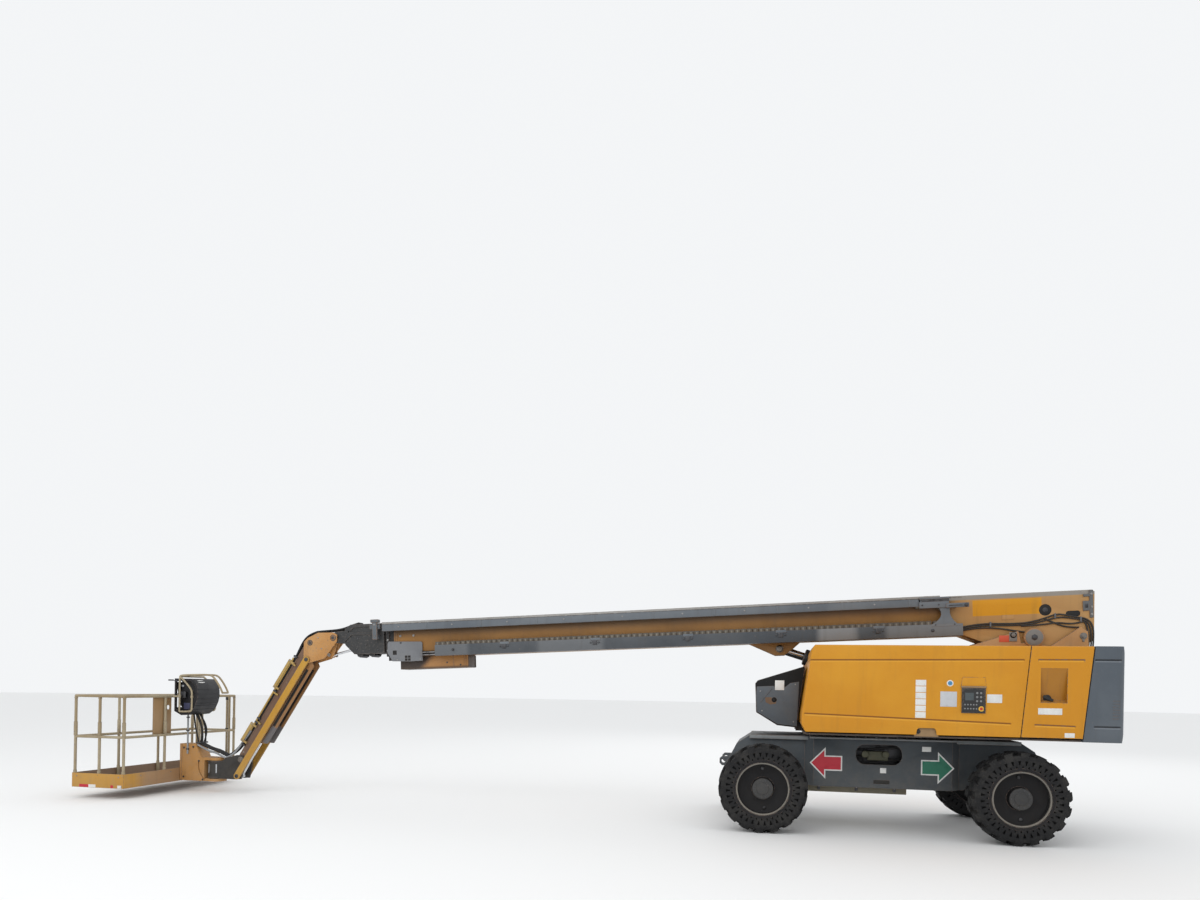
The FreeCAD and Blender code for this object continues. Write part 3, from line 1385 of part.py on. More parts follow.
knuckle = body("JibKnuckle")
knuckle_outline = [
    ("knuckle_heel", "knuckle_heel / 2"),
    ("knuckle_heel / 2", "knuckle_crown"),
    ("-knuckle_heel", "knuckle_crown"),
    ("knuckle_neck_along", "knuckle_neck_up"),
    ("knuckle_end", "rotator_roof"),
    ("rotator_along + rotator_radius * 0.5", "rotator_roof"),
    ("rotator_along + rotator_radius * 0.5", "rotator_floor"),
    ("knuckle_foot", "rotator_floor"),
    ("knuckle_heel / 3", "link_offset_up - 0.75 * knuckle_heel"),
    ("knuckle_heel", "-1.5 * knuckle_heel"),
]
for start in ("bracket_inner", "-bracket_inner - bracket_plate"):
    pad(knuckle, "XZ_Plane", [knuckle_outline], "bracket_plate", start)
rotator = [("circle", "rotator_along", "0", "rotator_radius")]
pad(knuckle, "XY_Plane", rotator, "rotator_roof - rotator_floor", "rotator_floor")
pad(knuckle, "XZ_Plane", [("circle", "0", "0", "jib_pin_radius")], bracket_pin_length)
knuckle_stub = [("circle", "link_offset_along", "link_offset_up", "link_pin_radius")]
for start in ("bracket_inner", "-link_inner - link_plate - stub_proud"):
    pad(knuckle, "XZ_Plane", knuckle_stub, "bracket_plate + link_gap + link_plate + stub_proud", start)
node(knuckle, "jib_knuckle", knuckle_frame)

jib_pin_place = ("jib_pin_along", "0", "jib_pin_up")
jib_cylinder = frame("JibCylinderFrame", bracket_frame, jib_pin_place, "-jib_cylinder_angle")
node(barrel("jib_barrel_reach", "jib_barrel_radius", "jib_rod_radius + rod_clearance",
            "jib_piston_gap - piston_head", "jib_cylinder_eye_radius", "jib_cylinder_half_width",
            "jib_pin_radius + pin_clearance", "jib_cylinder_eye_radius"), "jib_cylinder", jib_cylinder)
node(piston_rod("jib_cylinder_length", "jib_rod_radius", "jib_piston_gap + jib_stroke",
                "0.8 * jib_cylinder_eye_radius", "jib_cylinder_half_width - 10", "0.8 * link_pin_radius",
                "bracket_inner - 8"), "jib_rod", jib_cylinder)


# ---------------------------------------------------------------- work platform

platform = frame("PlatformFrame", knuckle_frame, ("rotator_along", "0", "0"))

support = body("PlatformSupport")
support_outline = [
    ("0", "rotator_roof + support_gap + support_plate"),
    ("support_bend_along", "rotator_roof + support_gap + support_plate + 5"),
    ("support_rise_along", "support_crown"),
    ("platform_rear", "support_crown"),
    ("platform_rear", "rotator_floor - support_gap - support_plate"),
    ("0", "rotator_floor - support_gap - support_plate"),
    ("0", "rotator_floor - support_gap"),
    ("-rotator_radius - rotator_gap", "rotator_floor - support_gap"),
    ("-rotator_radius - rotator_gap", "rotator_roof + support_gap"),
    ("0", "rotator_roof + support_gap"),
]
pad(support, "XZ_Plane", [support_outline], "2 * support_half_width")
disc = [("circle", "0", "0", "rotator_radius")]
pad(support, "XY_Plane", disc, "support_plate", "rotator_roof + support_gap")
pad(support, "XY_Plane", disc, "support_plate", "rotator_floor - support_gap - support_plate")
node(support, "platform_support", platform)

floor = body("PlatformFloor")
floor_outline = [
    ("platform_front", "-platform_half_width"),
    ("platform_rear", "-platform_half_width"),
    ("platform_rear", "platform_half_width"),
    ("platform_front", "platform_half_width"),
]
floor_well = [
    ("platform_front + toe_plate", "-platform_half_width + toe_plate"),
    ("platform_rear - toe_plate", "-platform_half_width + toe_plate"),
    ("platform_rear - toe_plate", "platform_half_width - toe_plate"),
    ("platform_front + toe_plate", "platform_half_width - toe_plate"),
]
pad(floor, "XY_Plane", [floor_outline], "toe_height", "platform_floor_bottom")
pocket(floor, "XY_Plane", [floor_well], "toe_height", "floor_top")
node(floor, "platform_floor", platform)

rails = []
for level in ("top_rail_up", "mid_rail_up"):
    for along in ("rail_front", "rail_rear"):
        rails.append(rod((along, "-rail_side", level), "rail_radius", "2 * rail_side", "Y"))
        rails.append(ball((along, "-rail_side", level), "rail_radius"))
        rails.append(ball((along, "rail_side", level), "rail_radius"))
    rails.append(rod(("rail_front", "-rail_side", level), "rail_radius", "rail_rear - rail_front", "X"))
    rails.append(rod(("rail_front", "rail_side", level), "rail_radius", "gate_post_inset", "X"))
    rails.append(rod(("gate_post_rear", "rail_side", level), "rail_radius", "gate_post_inset", "X"))
post_spots = []
for along in ("rail_front", "rail_rear"):
    for share in ("-1", "-0.34", "0.34", "1"):
        post_spots.append((along, share + " * rail_side"))
post_spots.append(("(rail_front + rail_rear) / 2", "-rail_side"))
post_spots.append(("gate_post_front", "rail_side"))
post_spots.append(("gate_post_rear", "rail_side"))
for along, across in post_spots:
    rails.append(rod((along, across, "floor_top"), "rail_radius", "top_rail_up - floor_top"))
node(fuse(*rails), "platform_rails", platform)

gate = []
for along in ("gate_hinge", "gate_latch"):
    gate_low = (along, "rail_side", "mid_rail_up - gate_drop")
    gate.append(rod(gate_low, "gate_tube_radius", "top_rail_up - mid_rail_up + gate_drop"))
for level in ("top_rail_up", "mid_rail_up", "mid_rail_up - gate_drop"):
    gate.append(rod(("gate_latch", "rail_side", level), "gate_tube_radius", "gate_hinge - gate_latch", "X"))
    gate.append(ball(("gate_latch", "rail_side", level), "gate_tube_radius"))
    gate.append(ball(("gate_hinge", "rail_side", level), "gate_tube_radius"))
node(fuse(*gate), "platform_gate", platform)

console = body("ControlConsole")
console_outline = [
    ("platform_rear", "console_floor + console_heel"),
    ("console_right - console_foot", "console_floor"),
    ("console_right - console_foot_bend", "console_floor + console_foot_rise"),
    ("console_right - console_chin", "console_floor + console_chin_rise"),
    ("console_right", "console_floor + console_face_rise"),
    ("console_right - 15", "console_roof - console_brow"),
    ("console_right - console_brow_run", "console_roof"),
    ("platform_rear", "console_roof"),
]
pad(console, "XZ_Plane", [console_outline], "2 * console_half_width")
node(console, "control_console", platform)

guard_pieces = []
for side in ("-", ""):
    across = side + "(console_half_width + guard_radius)"
    for along in ("guard_rear", "guard_rear + guard_loop"):
        guard_pieces.append(rod((along, across, "guard_floor"), "guard_radius", "guard_roof - guard_floor"))
        guard_pieces.append(ball((along, across, "guard_floor"), "guard_radius"))
        guard_pieces.append(ball((along, across, "guard_roof"), "guard_radius"))
    guard_pieces.append(rod(("guard_rear", across, "guard_floor"), "guard_radius", "guard_loop", "X"))
    guard_pieces.append(rod(("guard_rear", across, "guard_roof"), "guard_radius", "guard_reach", "X"))
    guard_pieces.append(ball(("guard_rear + guard_reach", across, "guard_roof"), "guard_radius"))
    start = ("guard_rear + guard_reach", across, "guard_roof")
    guard_pieces.append(slanted_rod(start, "guard_radius", "guard_drop", "180 - guard_lean"))
    guard_pieces.append(ball(("guard_end", across, "guard_end_up"), "guard_radius"))
    arm_start = ("rail_rear + rail_radius", across, "top_rail_up")
    guard_pieces.append(rod(arm_start, "guard_radius", "guard_rear - rail_rear - rail_radius", "X"))
cross_length = "2 * (console_half_width + guard_radius)"
for along, up in (("guard_end", "guard_end_up"), ("guard_rear", "guard_roof")):
    guard_pieces.append(rod((along, "-" + cross_length + " / 2", up), "guard_radius", cross_length, "Y"))
node(fuse(*guard_pieces), "console_guard", platform)

side_low = ("rail_rear - rail_radius - side_panel_thickness", "side_panel_low", "mid_rail_up + 12")
side_high = ("rail_rear - rail_radius", "side_panel_high", "top_rail_up + 8")
node(box(side_low, side_high), "platform_panel", platform)


# ---------------------------------------------------------------- centring, checks and files

doc.recompute()
extent = FreeCAD.BoundBox()
for item in nodes:
    extent.add(item.Shape.BoundBox)
middle = (extent.XMin + extent.XMax) / 2
doc.getObject(machine).setExpression("Placement", None)
doc.getObject(machine).Placement.Base = Vector(-middle, 0, 0)
doc.recompute()

failed = [item.Name for item in doc.Objects if "Invalid" in item.State or "Error" in item.State]
failed += [item.Label for item in nodes if item.Shape.isNull() or not item.Shape.isValid()]
if failed:
    raise RuntimeError("these objects failed: " + ", ".join(failed))

os.makedirs("parts", exist_ok=True)
for item in nodes:
    item.Shape.exportStep("parts/%s.step" % item.Label)
print("%d sub-parts written" % len(nodes))
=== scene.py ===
import json
import math

import bpy
from mathutils import Matrix, Vector

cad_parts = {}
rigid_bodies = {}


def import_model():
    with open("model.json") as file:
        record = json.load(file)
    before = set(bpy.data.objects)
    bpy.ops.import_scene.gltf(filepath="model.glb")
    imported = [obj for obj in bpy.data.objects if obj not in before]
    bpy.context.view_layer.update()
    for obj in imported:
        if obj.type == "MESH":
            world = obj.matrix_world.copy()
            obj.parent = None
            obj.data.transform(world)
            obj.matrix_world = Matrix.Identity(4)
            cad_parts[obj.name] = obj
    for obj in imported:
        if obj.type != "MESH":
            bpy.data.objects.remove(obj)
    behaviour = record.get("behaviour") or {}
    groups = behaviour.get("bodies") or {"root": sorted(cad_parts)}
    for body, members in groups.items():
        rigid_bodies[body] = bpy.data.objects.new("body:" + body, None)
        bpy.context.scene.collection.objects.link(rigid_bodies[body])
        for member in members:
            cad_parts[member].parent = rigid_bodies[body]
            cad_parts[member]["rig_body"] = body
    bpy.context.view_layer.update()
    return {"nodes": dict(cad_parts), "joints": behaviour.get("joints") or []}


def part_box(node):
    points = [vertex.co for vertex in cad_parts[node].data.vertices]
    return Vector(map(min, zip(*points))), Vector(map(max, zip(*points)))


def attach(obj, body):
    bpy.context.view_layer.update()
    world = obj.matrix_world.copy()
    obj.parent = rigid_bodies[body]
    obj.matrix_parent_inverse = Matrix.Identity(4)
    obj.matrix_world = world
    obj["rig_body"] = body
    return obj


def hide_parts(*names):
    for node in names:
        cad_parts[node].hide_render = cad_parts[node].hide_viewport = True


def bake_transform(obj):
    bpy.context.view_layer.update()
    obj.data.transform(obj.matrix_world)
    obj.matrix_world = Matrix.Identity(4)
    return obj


# The looks of a telescopic boom lift, built round its fixed frame. Sizes are in metres, +X points to the
# counterweight, +Z up, and the machine's near side faces -Y. Places come from the frame's nodes and joints.
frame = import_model()
joints = {joint["name"]: joint for joint in frame["joints"]}
slew_x = joints["slew"]["pos_m"][0]
machine = Matrix.Translation((slew_x, 0.0, 0.0))


# ---------------------------------------------------------------- yard, light and camera
# The machine stands on a pale seamless yard floor under a broad white sky.
# One large soft lamp high on the near side gives the paint its shape and a mild shadow under the machine.
floor_reach = 110.0
sky_light = 0.93
lamp_size = 14.0
lamp_power = 700.0

bpy.ops.object.select_all(action="DESELECT")
bpy.ops.mesh.primitive_circle_add(vertices=128, radius=floor_reach, fill_type="NGON")
yard = bpy.context.object
yard.name = "yard_floor"
pale = bpy.data.materials.new("pale_floor")
pale.use_nodes = True
pale.node_tree.nodes["Principled BSDF"].inputs["Base Color"].default_value = (0.88, 0.88, 0.875, 1.0)
pale.node_tree.nodes["Principled BSDF"].inputs["Roughness"].default_value = 0.85
yard.data.materials.append(pale)

sky = bpy.data.worlds.new("white_sky")
sky.use_nodes = True
sky.node_tree.nodes["Background"].inputs["Color"].default_value = (0.97, 0.985, 1.0, 1.0)
sky.node_tree.nodes["Background"].inputs["Strength"].default_value = sky_light
bpy.context.scene.world = sky
bpy.context.scene.view_settings.view_transform = "Standard"

for lamp_name, spot, share in (("near_lamp", (-4.0, -13.0, 12.0), 1.0),
                               ("far_lamp", (6.0, 12.0, 11.0), 0.45)):
    bpy.ops.object.light_add(type="AREA", location=spot)
    lamp = bpy.context.object
    lamp.name = lamp_name
    lamp.data.size = lamp_size
    lamp.data.energy = lamp_power * share
    lamp.rotation_euler = (-Vector(spot)).to_track_quat("-Z", "Y").to_euler()

view_turn = math.radians(11.78)
view_roll = math.radians(1.02)
view_focal = 24.76
view_lift = 0.199
view_spot = Vector((-1.311, -11.073, 1.658))
view_reach = 400.0
bpy.ops.object.camera_add()
camera = bpy.context.object
camera.data.lens = view_focal
camera.data.sensor_width = 36.0
camera.data.shift_y = view_lift
camera.data.clip_end = view_reach
camera.matrix_world = (
    Matrix.Translation(machine @ view_spot)
    @ Matrix.Rotation(view_turn, 4, "Z")
    @ Matrix.Rotation(math.radians(90), 4, "X")
    @ Matrix.Rotation(view_roll, 4, "Z")
)
bpy.context.scene.camera = camera


# ---------------------------------------------------------------- chassis frame
# A welded box of thick plate with sloping ends, sprayed dark blue-grey and scuffed along its edges.
# Each side has a long porthole with hoses behind it, a direction arrow at each end and a pale weld lip on top.
class Wire:
    """A socket of a material: arithmetic on it adds Math nodes, and add() adds any other node."""

    def __init__(self, tree, socket=None):
        self.tree = tree
        self.socket = socket

    def add(self, kind, values=None, settings=None, out=0):
        made = self.tree.nodes.new("ShaderNode" + kind)
        for name, value in (settings or {}).items():
            if name == "stops":
                while len(made.color_ramp.elements) < len(value):
                    made.color_ramp.elements.new(1.0)
                for element, (position, tint) in zip(made.color_ramp.elements, value):
                    element.position = position
                    element.color = tint
            else:
                setattr(made, name, value)
        for name, value in (values or {}).items():
            if isinstance(value, Wire):
                self.tree.links.new(value.socket, made.inputs[name])
            else:
                made.inputs[name].default_value = value
        return Wire(self.tree, made.outputs[out])

    def math(self, operation, other):
        return self.add("Math", {0: self, 1: other}, {"operation": operation})

    def __add__(self, other):
        return self.math("ADD", other)

    def __sub__(self, other):
        return self.math("SUBTRACT", other)

    def __rsub__(self, other):
        return self.add("Math", {0: other, 1: self}, {"operation": "SUBTRACT"})

    def __mul__(self, other):
        return self.math("MULTIPLY", other)


def rise(value, low, high):
    """0 up to low, 1 from high on, and a smooth slope between."""
    return value.add(
        "MapRange", {"Value": value, "From Min": low, "From Max": high}, {"interpolation_type": "SMOOTHSTEP"}
    )


def layered(mask, under, over):
    """The colour under, covered by the colour over where the mask is 1."""
    return mask.add("Mix", {0: mask, 6: under, 7: over}, {"data_type": "RGBA"}, 2)


def mottle(place, scale, detail=4.0, roughness=0.6):
    """Uneven blotches, as many to the metre as the scale says."""
    values = {"Vector": place, "Scale": scale, "Detail": detail, "Roughness": roughness}
    return place.add("TexNoise", values, out="Fac")


def open_finish(name):
    """An empty material, and the place of each point of the piece as the start of its wiring."""
    finish = bpy.data.materials.new(name)
    finish.use_nodes = True
    finish.node_tree.nodes.clear()
    return finish, Wire(finish.node_tree).add("TexCoord", out="Object")


def close_finish(finish, colour, roughness, metallic=0.0, height=None, depth=0.001, shine=0.5):
    """Ends a material's wiring in its shader."""
    start = Wire(finish.node_tree)
    values = {"Base Color": colour, "Roughness": roughness, "Metallic": metallic, "Specular IOR Level": shine}
    if height is not None:
        values["Normal"] = height.add("Bump", {"Height": height, "Strength": 0.6, "Distance": depth})
    shader = start.add("BsdfPrincipled", values)
    output = finish.node_tree.nodes.new("ShaderNodeOutputMaterial")
    finish.node_tree.links.new(shader.socket, output.inputs["Surface"])
    return finish


def enamel(name, colour, faded, dirt=0.5, chips=0.25, gloss=0.42, worn=0.0, shine=0.4, patches=()):
    """Sprayed machine paint: sun-faded blotches, rain streaks, dust where it can lie, and chips down to steel.
    Each patch is a function that gives its mask from a point's place, and its own colour."""
    finish, place = open_finish(name)
    upward = place.add("SeparateXYZ", {"Vector": place.add("TexCoord", out="Normal")}, out="Z")
    height = place.add("SeparateXYZ", {"Vector": place}, out="Z")
    blotches = rise(mottle(place, 0.9, 5.0), 0.38, 0.68)
    film = rise(mottle(place, 7.0, 6.0, 0.7), 0.35, 0.75)
    stretched = place.add("Mapping", {"Vector": place, "Scale": (9.0, 9.0, 0.8)})
    streaks = rise(mottle(stretched, 1.6, 5.0), 0.50, 0.82)
    dust = (rise(upward, 0.55, 0.95) * 0.55 + rise(height, 1.5, 0.2) * 0.5) * (film * 0.6 + 0.4)
    scuffs = rise(mottle(place, 26.0, 8.0, 0.75), 0.70 - 0.24 * chips - 0.22 * worn, 0.74 - 0.22 * worn)
    paint = layered(blotches * 0.8, (*colour, 1.0), (*faded, 1.0))
    for mask, tint in patches:
        paint = layered(mask(place), paint, (*tint, 1.0))
    streaked = layered(streaks * (0.38 * dirt), paint, (0.055, 0.045, 0.035, 1.0))
    dusty = layered(dust * dirt, streaked, (0.30, 0.26, 0.21, 1.0))
    chipped = layered(scuffs, dusty, (0.16, 0.12, 0.10, 1.0) if worn else (0.20, 0.17, 0.15, 1.0))
    rough = film * 0.18 + dust * 0.25 + scuffs * 0.15 + gloss
    relief = mottle(place, 160.0, 2.0) * 0.25 - scuffs
    return close_finish(finish, chipped, rough, height=relief, depth=0.0012, shine=shine)


def pair_of(name, colour, faded, **looks):
    """A paint for the faces and the same paint, rubbed down, for the rounded edges."""
    worn = {**looks, "worn": 1.0}
    return enamel(name, colour, faded, **looks), enamel(name + "_edge", colour, faded, **worn)


def alone():
    """Leaves nothing selected and no piece open for editing."""
    bpy.ops.object.select_all(action="DESELECT")


def take_up(piece):
    """Selects one piece only and makes it the active one."""
    alone()
    piece.select_set(True)
    bpy.context.view_layer.objects.active = piece


def round_off(piece, finishes, radius, segments=2, steepest=32):
    """Rounds a piece's sharp edges, gives the faces the first finish and the rounded edges the last."""
    take_up(piece)
    piece.data.materials.clear()
    for finish in finishes:
        piece.data.materials.append(finish)
    if radius:
        bevel = piece.modifiers.new("round_edges", "BEVEL")
        bevel.width = radius
        bevel.segments = segments
        bevel.limit_method = "ANGLE"
        bevel.angle_limit = math.radians(steepest)
        bevel.material = len(finishes) - 1
        bpy.ops.object.modifier_apply(modifier=bevel.name)
    bpy.ops.object.shade_smooth_by_angle(angle=math.radians(steepest))
    return piece


def cut_away(piece, tools):
    """Cuts the shapes of the tools out of a piece, and puts the tools away."""
    for tool in tools:
        take_up(piece)
        saw = piece.modifiers.new("cut", "BOOLEAN")
        saw.operation = "DIFFERENCE"
        saw.solver = "EXACT"
        saw.object = tool
        bpy.ops.object.modifier_apply(modifier=saw.name)
        bpy.data.objects.remove(tool)


def dress(node, finishes, radius=0.004, cuts=(), segments=2):
    """A merged copy of a frame node with softly rounded edges, which stands for the node."""
    piece = bpy.data.objects.new(node + "_skin", frame["nodes"][node].data.copy())
    bpy.context.scene.collection.objects.link(piece)
    take_up(piece)
    bpy.ops.mesh.customdata_custom_splitnormals_clear()
    bpy.ops.object.mode_set(mode="EDIT")
    bpy.ops.mesh.select_all(action="SELECT")
    bpy.ops.mesh.remove_doubles(threshold=0.00002)
    bpy.ops.mesh.dissolve_limited(angle_limit=math.radians(0.6))
    bpy.ops.object.mode_set(mode="OBJECT")
    cut_away(piece, cuts)
    round_off(piece, finishes, radius, segments)
    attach(piece, frame["nodes"][node]["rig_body"])
    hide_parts(node)
    return piece


def put_down(piece, place):
    """Sets a piece at a place given by a matrix or by a point, with no transform left on it."""
    take_up(piece)
    piece.matrix_world = place if isinstance(place, Matrix) else Matrix.Translation(place)
    bpy.ops.object.transform_apply(location=True, rotation=True, scale=True)
    return piece


def block(name, size, place, finishes, radius=0.003, segments=2):
    """A box of a given size with rounded edges, its middle at a place."""
    alone()
    bpy.ops.mesh.primitive_cube_add(size=1.0)
    piece = bpy.context.object
    piece.name = name
    if not isinstance(place, Matrix):
        place = Matrix.Translation(place)
    put_down(piece, place @ Matrix.Diagonal((*size, 1.0)))
    return round_off(piece, finishes, radius, segments)


def between(name, start, end, radius, finishes, vertices=20, bevel=0.002, base=Matrix()):
    """A round bar from one point of a frame to another, its two rims rounded."""
    start, end = base @ Vector(start), base @ Vector(end)
    alone()
    bpy.ops.mesh.primitive_cylinder_add(vertices=vertices, radius=radius, depth=(end - start).length)
    piece = bpy.context.object
    piece.name = name
    turn = (end - start).to_track_quat("Z", "Y").to_matrix().to_4x4()
    put_down(piece, Matrix.Translation((start + end) / 2) @ turn)
    return round_off(piece, finishes, bevel, 2, 50)


def joined(name, pieces):
    """Joins pieces that are fixed together into one."""
    alone()
    for piece in pieces:
        piece.select_set(True)
    bpy.context.view_layer.objects.active = pieces[0]
    if len(pieces) > 1:
        bpy.ops.object.join()
    pieces[0].name = name
    return pieces[0]


def as_one(name, pieces, body):
    """Joins pieces and sets them on their body, if one body carries them all."""
    piece = joined(name, pieces)
    if body:
        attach(piece, body)
    return piece


def bolt(foot, outward, size, finishes):
    """A hexagon bolt head on its washer, standing on a surface that faces outward."""
    outward = Vector(outward).normalized() * size
    foot = Vector(foot)
    return [between("washer", foot, foot + outward * 0.18, size * 1.05, finishes, 18, size * 0.04),
            between("head", foot, foot + outward * 0.75, size * 0.8, finishes, 6, size * 0.08)]


def bare_metal(name, colour, roughness=0.35, grime=0.5, scratches=60.0):
    """Worked or plated steel: fine scratches along it, thumbed grease and a little rust in the hollows."""
    finish, place = open_finish(name)
    lines = mottle(place.add("Mapping", {"Vector": place, "Scale": (0.6, 6.0, 6.0)}), scratches, 3.0)
    grease = rise(mottle(place, 9.0, 6.0, 0.7), 0.48, 0.72)
    rust = rise(mottle(place, 30.0, 8.0, 0.8), 0.60, 0.72)
    oily = layered(grease * grime, (*colour, 1.0), (0.035, 0.03, 0.028, 1.0))
    rusty = layered(rust * (0.5 * grime), oily, (0.14, 0.055, 0.02, 1.0))
    rough = lines * 0.15 + grease * 0.2 + roughness
    return close_finish(finish, rusty, rough, 1.0 - rust, lines, 0.0004)


sides = (-1, 1)
chassis_paint = pair_of("chassis_blue_grey", (0.037, 0.050, 0.062), (0.056, 0.070, 0.083), dirt=0.55,
                        chips=0.35)
lip_paint = pair_of("pale_weld_lip", (0.20, 0.22, 0.23), (0.26, 0.27, 0.27), dirt=0.5, chips=0.4)
bolt_steel = [bare_metal("bolt_steel", (0.34, 0.33, 0.32), 0.42, 0.7)]
dark_steel = [bare_metal("dark_steel", (0.10, 0.10, 0.105), 0.45, 0.8)]
hole_black = [enamel("hole_black", (0.006, 0.006, 0.006), (0.012, 0.011, 0.010), dirt=0.2, chips=0.1)]

side_face = 0.62
slot_level = 0.591
slots = [block("cut", (0.184, 0.030, 0.044), (slew_x, side * side_face, slot_level), chassis_paint, 0.0)
         for side in sides]
dress("chassis_frame", chassis_paint, 0.006, slots)
lip_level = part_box("chassis_frame")[1].z - 0.014
lip_height = 0.046
lips = []
for side in sides:
    for along in (-1.22, 1.22):
        middle = (slew_x + along, side * 0.50, lip_level - lip_height / 2 + 0.010)
        lips.append(block("lip", (0.72, 0.06, lip_height), middle, lip_paint, 0.004))
    middle = (slew_x, side * (side_face + 0.004), lip_level)
    lips.append(block("lip", (1.70, 0.012, 0.022), middle, lip_paint))
    # A near-black strip set back in each slot is painted shade for the slot's depth.
    middle = (slew_x, side * (side_face - 0.008), slot_level)
    lips.append(block("slot_shadow", (0.182, 0.008, 0.042), middle, hole_black, 0.001))
as_one("chassis_weld_lips", lips, "chassis")


def traced(name, points):
    """A run of edges from point to point, open for editing and with all of it selected."""
    alone()
    bpy.ops.mesh.primitive_plane_add(size=0.01)
    bpy.context.object.name = name
    bpy.ops.object.mode_set(mode="EDIT")
    bpy.ops.mesh.select_mode(type="VERT")
    bpy.ops.mesh.merge(type="CENTER")
    bpy.ops.transform.translate(value=points[0])
    for last, point in zip(points, points[1:]):
        step = tuple(end - start for start, end in zip(last, point))
        bpy.ops.mesh.extrude_vertices_move(TRANSFORM_OT_translate={"value": step})
    bpy.ops.mesh.select_all(action="SELECT")
    return bpy.context.object


def outlined(name, outline, thickness, place, finishes, radius=0.002):
    """A plate cut to an outline of (x, z) points, its outer face at y = 0 and its thickness towards +Y."""
    piece = traced(name, [(along, 0.0, up) for along, up in outline])
    bpy.ops.mesh.edge_face_add()
    bpy.ops.mesh.extrude_region_move(TRANSFORM_OT_translate={"value": (0.0, thickness, 0.0)})
    bpy.ops.mesh.select_all(action="SELECT")
    bpy.ops.mesh.normals_make_consistent(inside=False)
    bpy.ops.object.mode_set(mode="OBJECT")
    return round_off(put_down(piece, place), finishes, radius)


def plain_film(name, colour, roughness=0.4, wear=0.3):
    """A printed film or sticker without print: a little yellowed, with scuffed and peeling spots."""
    finish, place = open_finish(name)
    age = rise(mottle(place, 11.0, 5.0), 0.45, 0.75)
    bare = rise(mottle(place, 70.0, 7.0, 0.8), 0.66, 0.70)
    aged = layered(age * 0.5, (*colour, 1.0), tuple(c * 0.7 for c in colour) + (1.0,))
    worn = layered(bare * wear, aged, (0.10, 0.09, 0.08, 1.0))
    return close_finish(finish, worn, age * 0.2 + roughness, height=bare * -1.0, depth=0.0004)


def pick_faces(piece, wanted):
    """Opens a piece for editing with only the faces selected whose middle passes the test."""
    take_up(piece)
    bpy.ops.object.mode_set(mode="EDIT")
    bpy.ops.mesh.select_mode(type="FACE")
    bpy.ops.mesh.select_all(action="DESELECT")
    bpy.ops.object.mode_set(mode="OBJECT")
    for face in piece.data.polygons:
        face.select = wanted(face)
    bpy.ops.object.mode_set(mode="EDIT")


film_thickness = 0.0012
border_width = 0.015


def arrow(name, tip, barb, tail, height, half_head, half_shaft, finish):
    """A direction arrow of coloured film with a white border, stuck on both sides of the chassis."""
    outline = [(barb, height + half_head), (tip, height), (barb, height - half_head),
               (barb, height - half_shaft), (tail, height - half_shaft), (tail, height + half_shaft),
               (barb, height + half_shaft)]
    pieces = []
    for side in sides:
        place = (slew_x, side * (side_face + film_thickness / 2 + 0.0006), 0.0)
        sheet = outlined(name, outline, film_thickness, place, [white_film, finish], 0.0)
        pick_faces(sheet, lambda face: len(face.vertices) == len(outline))
        bpy.ops.mesh.inset(thickness=border_width, depth=0.0)
        bpy.ops.object.mode_set(mode="OBJECT")
        for face in sheet.data.polygons:
            face.material_index = 1 if face.select else 0
        pieces.append(sheet)
    return as_one(name, pieces, "chassis")


white_film = plain_film("white_film", (0.72, 0.72, 0.70))
red_film = plain_film("red_film", (0.50, 0.010, 0.030))
green_film = plain_film("green_film", (0.008, 0.15, 0.085))
arrow("platform_end_arrow", -0.845, -0.656, -0.460, 0.800, 0.193, 0.092, red_film)
arrow("counterweight_end_arrow", 0.823, 0.637, 0.448, 0.785, 0.191, 0.091, green_film)

label_skin = 0.002


def label(width, height, along, face, up, film):
    """A blank label on the near side of a piece, its middle given from the slewing axis."""
    return block("label", (width, label_skin, height), machine @ Vector((along, face, up)), [film], 0.0005)


plates = [label(0.070, 0.062, 0.017, -side_face - label_skin, 0.731, white_film),
          label(0.102, 0.059, 0.508, -side_face - label_skin, 1.0045, white_film)]
as_one("chassis_blank_labels", plates, "chassis")


# ---------------------------------------------------------------- hoses and valve behind the porthole
# Hydraulic hoses run lengthwise inside the chassis past a valve block with two cast plugs.
# They are rubber, dull and dusty, and show through the porthole on either side.
def rubber(name, colour=(0.012, 0.012, 0.013), dust=0.5, rough=0.62, shine=0.3):
    """Black rubber gone grey with dust in its pores."""
    finish, place = open_finish(name)
    grey = rise(mottle(place, 5.0, 7.0, 0.7), 0.40, 0.72)
    specks = rise(mottle(place, 90.0, 4.0, 0.7), 0.52, 0.70)
    dusty = layered((grey * 0.6 + specks * 0.4) * dust, (*colour, 1.0), (0.085, 0.080, 0.072, 1.0))
    return close_finish(finish, dusty, grey * 0.15 + rough, height=specks, depth=0.0006, shine=shine)


def hose(name, points, radius, finishes, order=4):
    """A smooth run of hose along chosen points, its ends closed."""
    line = bpy.data.curves.new(name, "CURVE")
    line.dimensions = "3D"
    line.bevel_depth = radius
    line.bevel_resolution = 3
    line.resolution_u = 6
    line.use_fill_caps = True
    run = line.splines.new("NURBS")
    run.points.add(len(points) - 1)
    for point, place in zip(run.points, points):
        point.co = (*place, 1.0)
    run.order_u = order
    run.use_endpoint_u = True
    piece = bpy.data.objects.new(name, line)
    bpy.context.scene.collection.objects.link(piece)
    take_up(piece)
    bpy.ops.object.convert(target="MESH")
    piece.data.materials.clear()
    for finish in finishes:
        piece.data.materials.append(finish)
    bpy.ops.object.shade_smooth()
    return piece


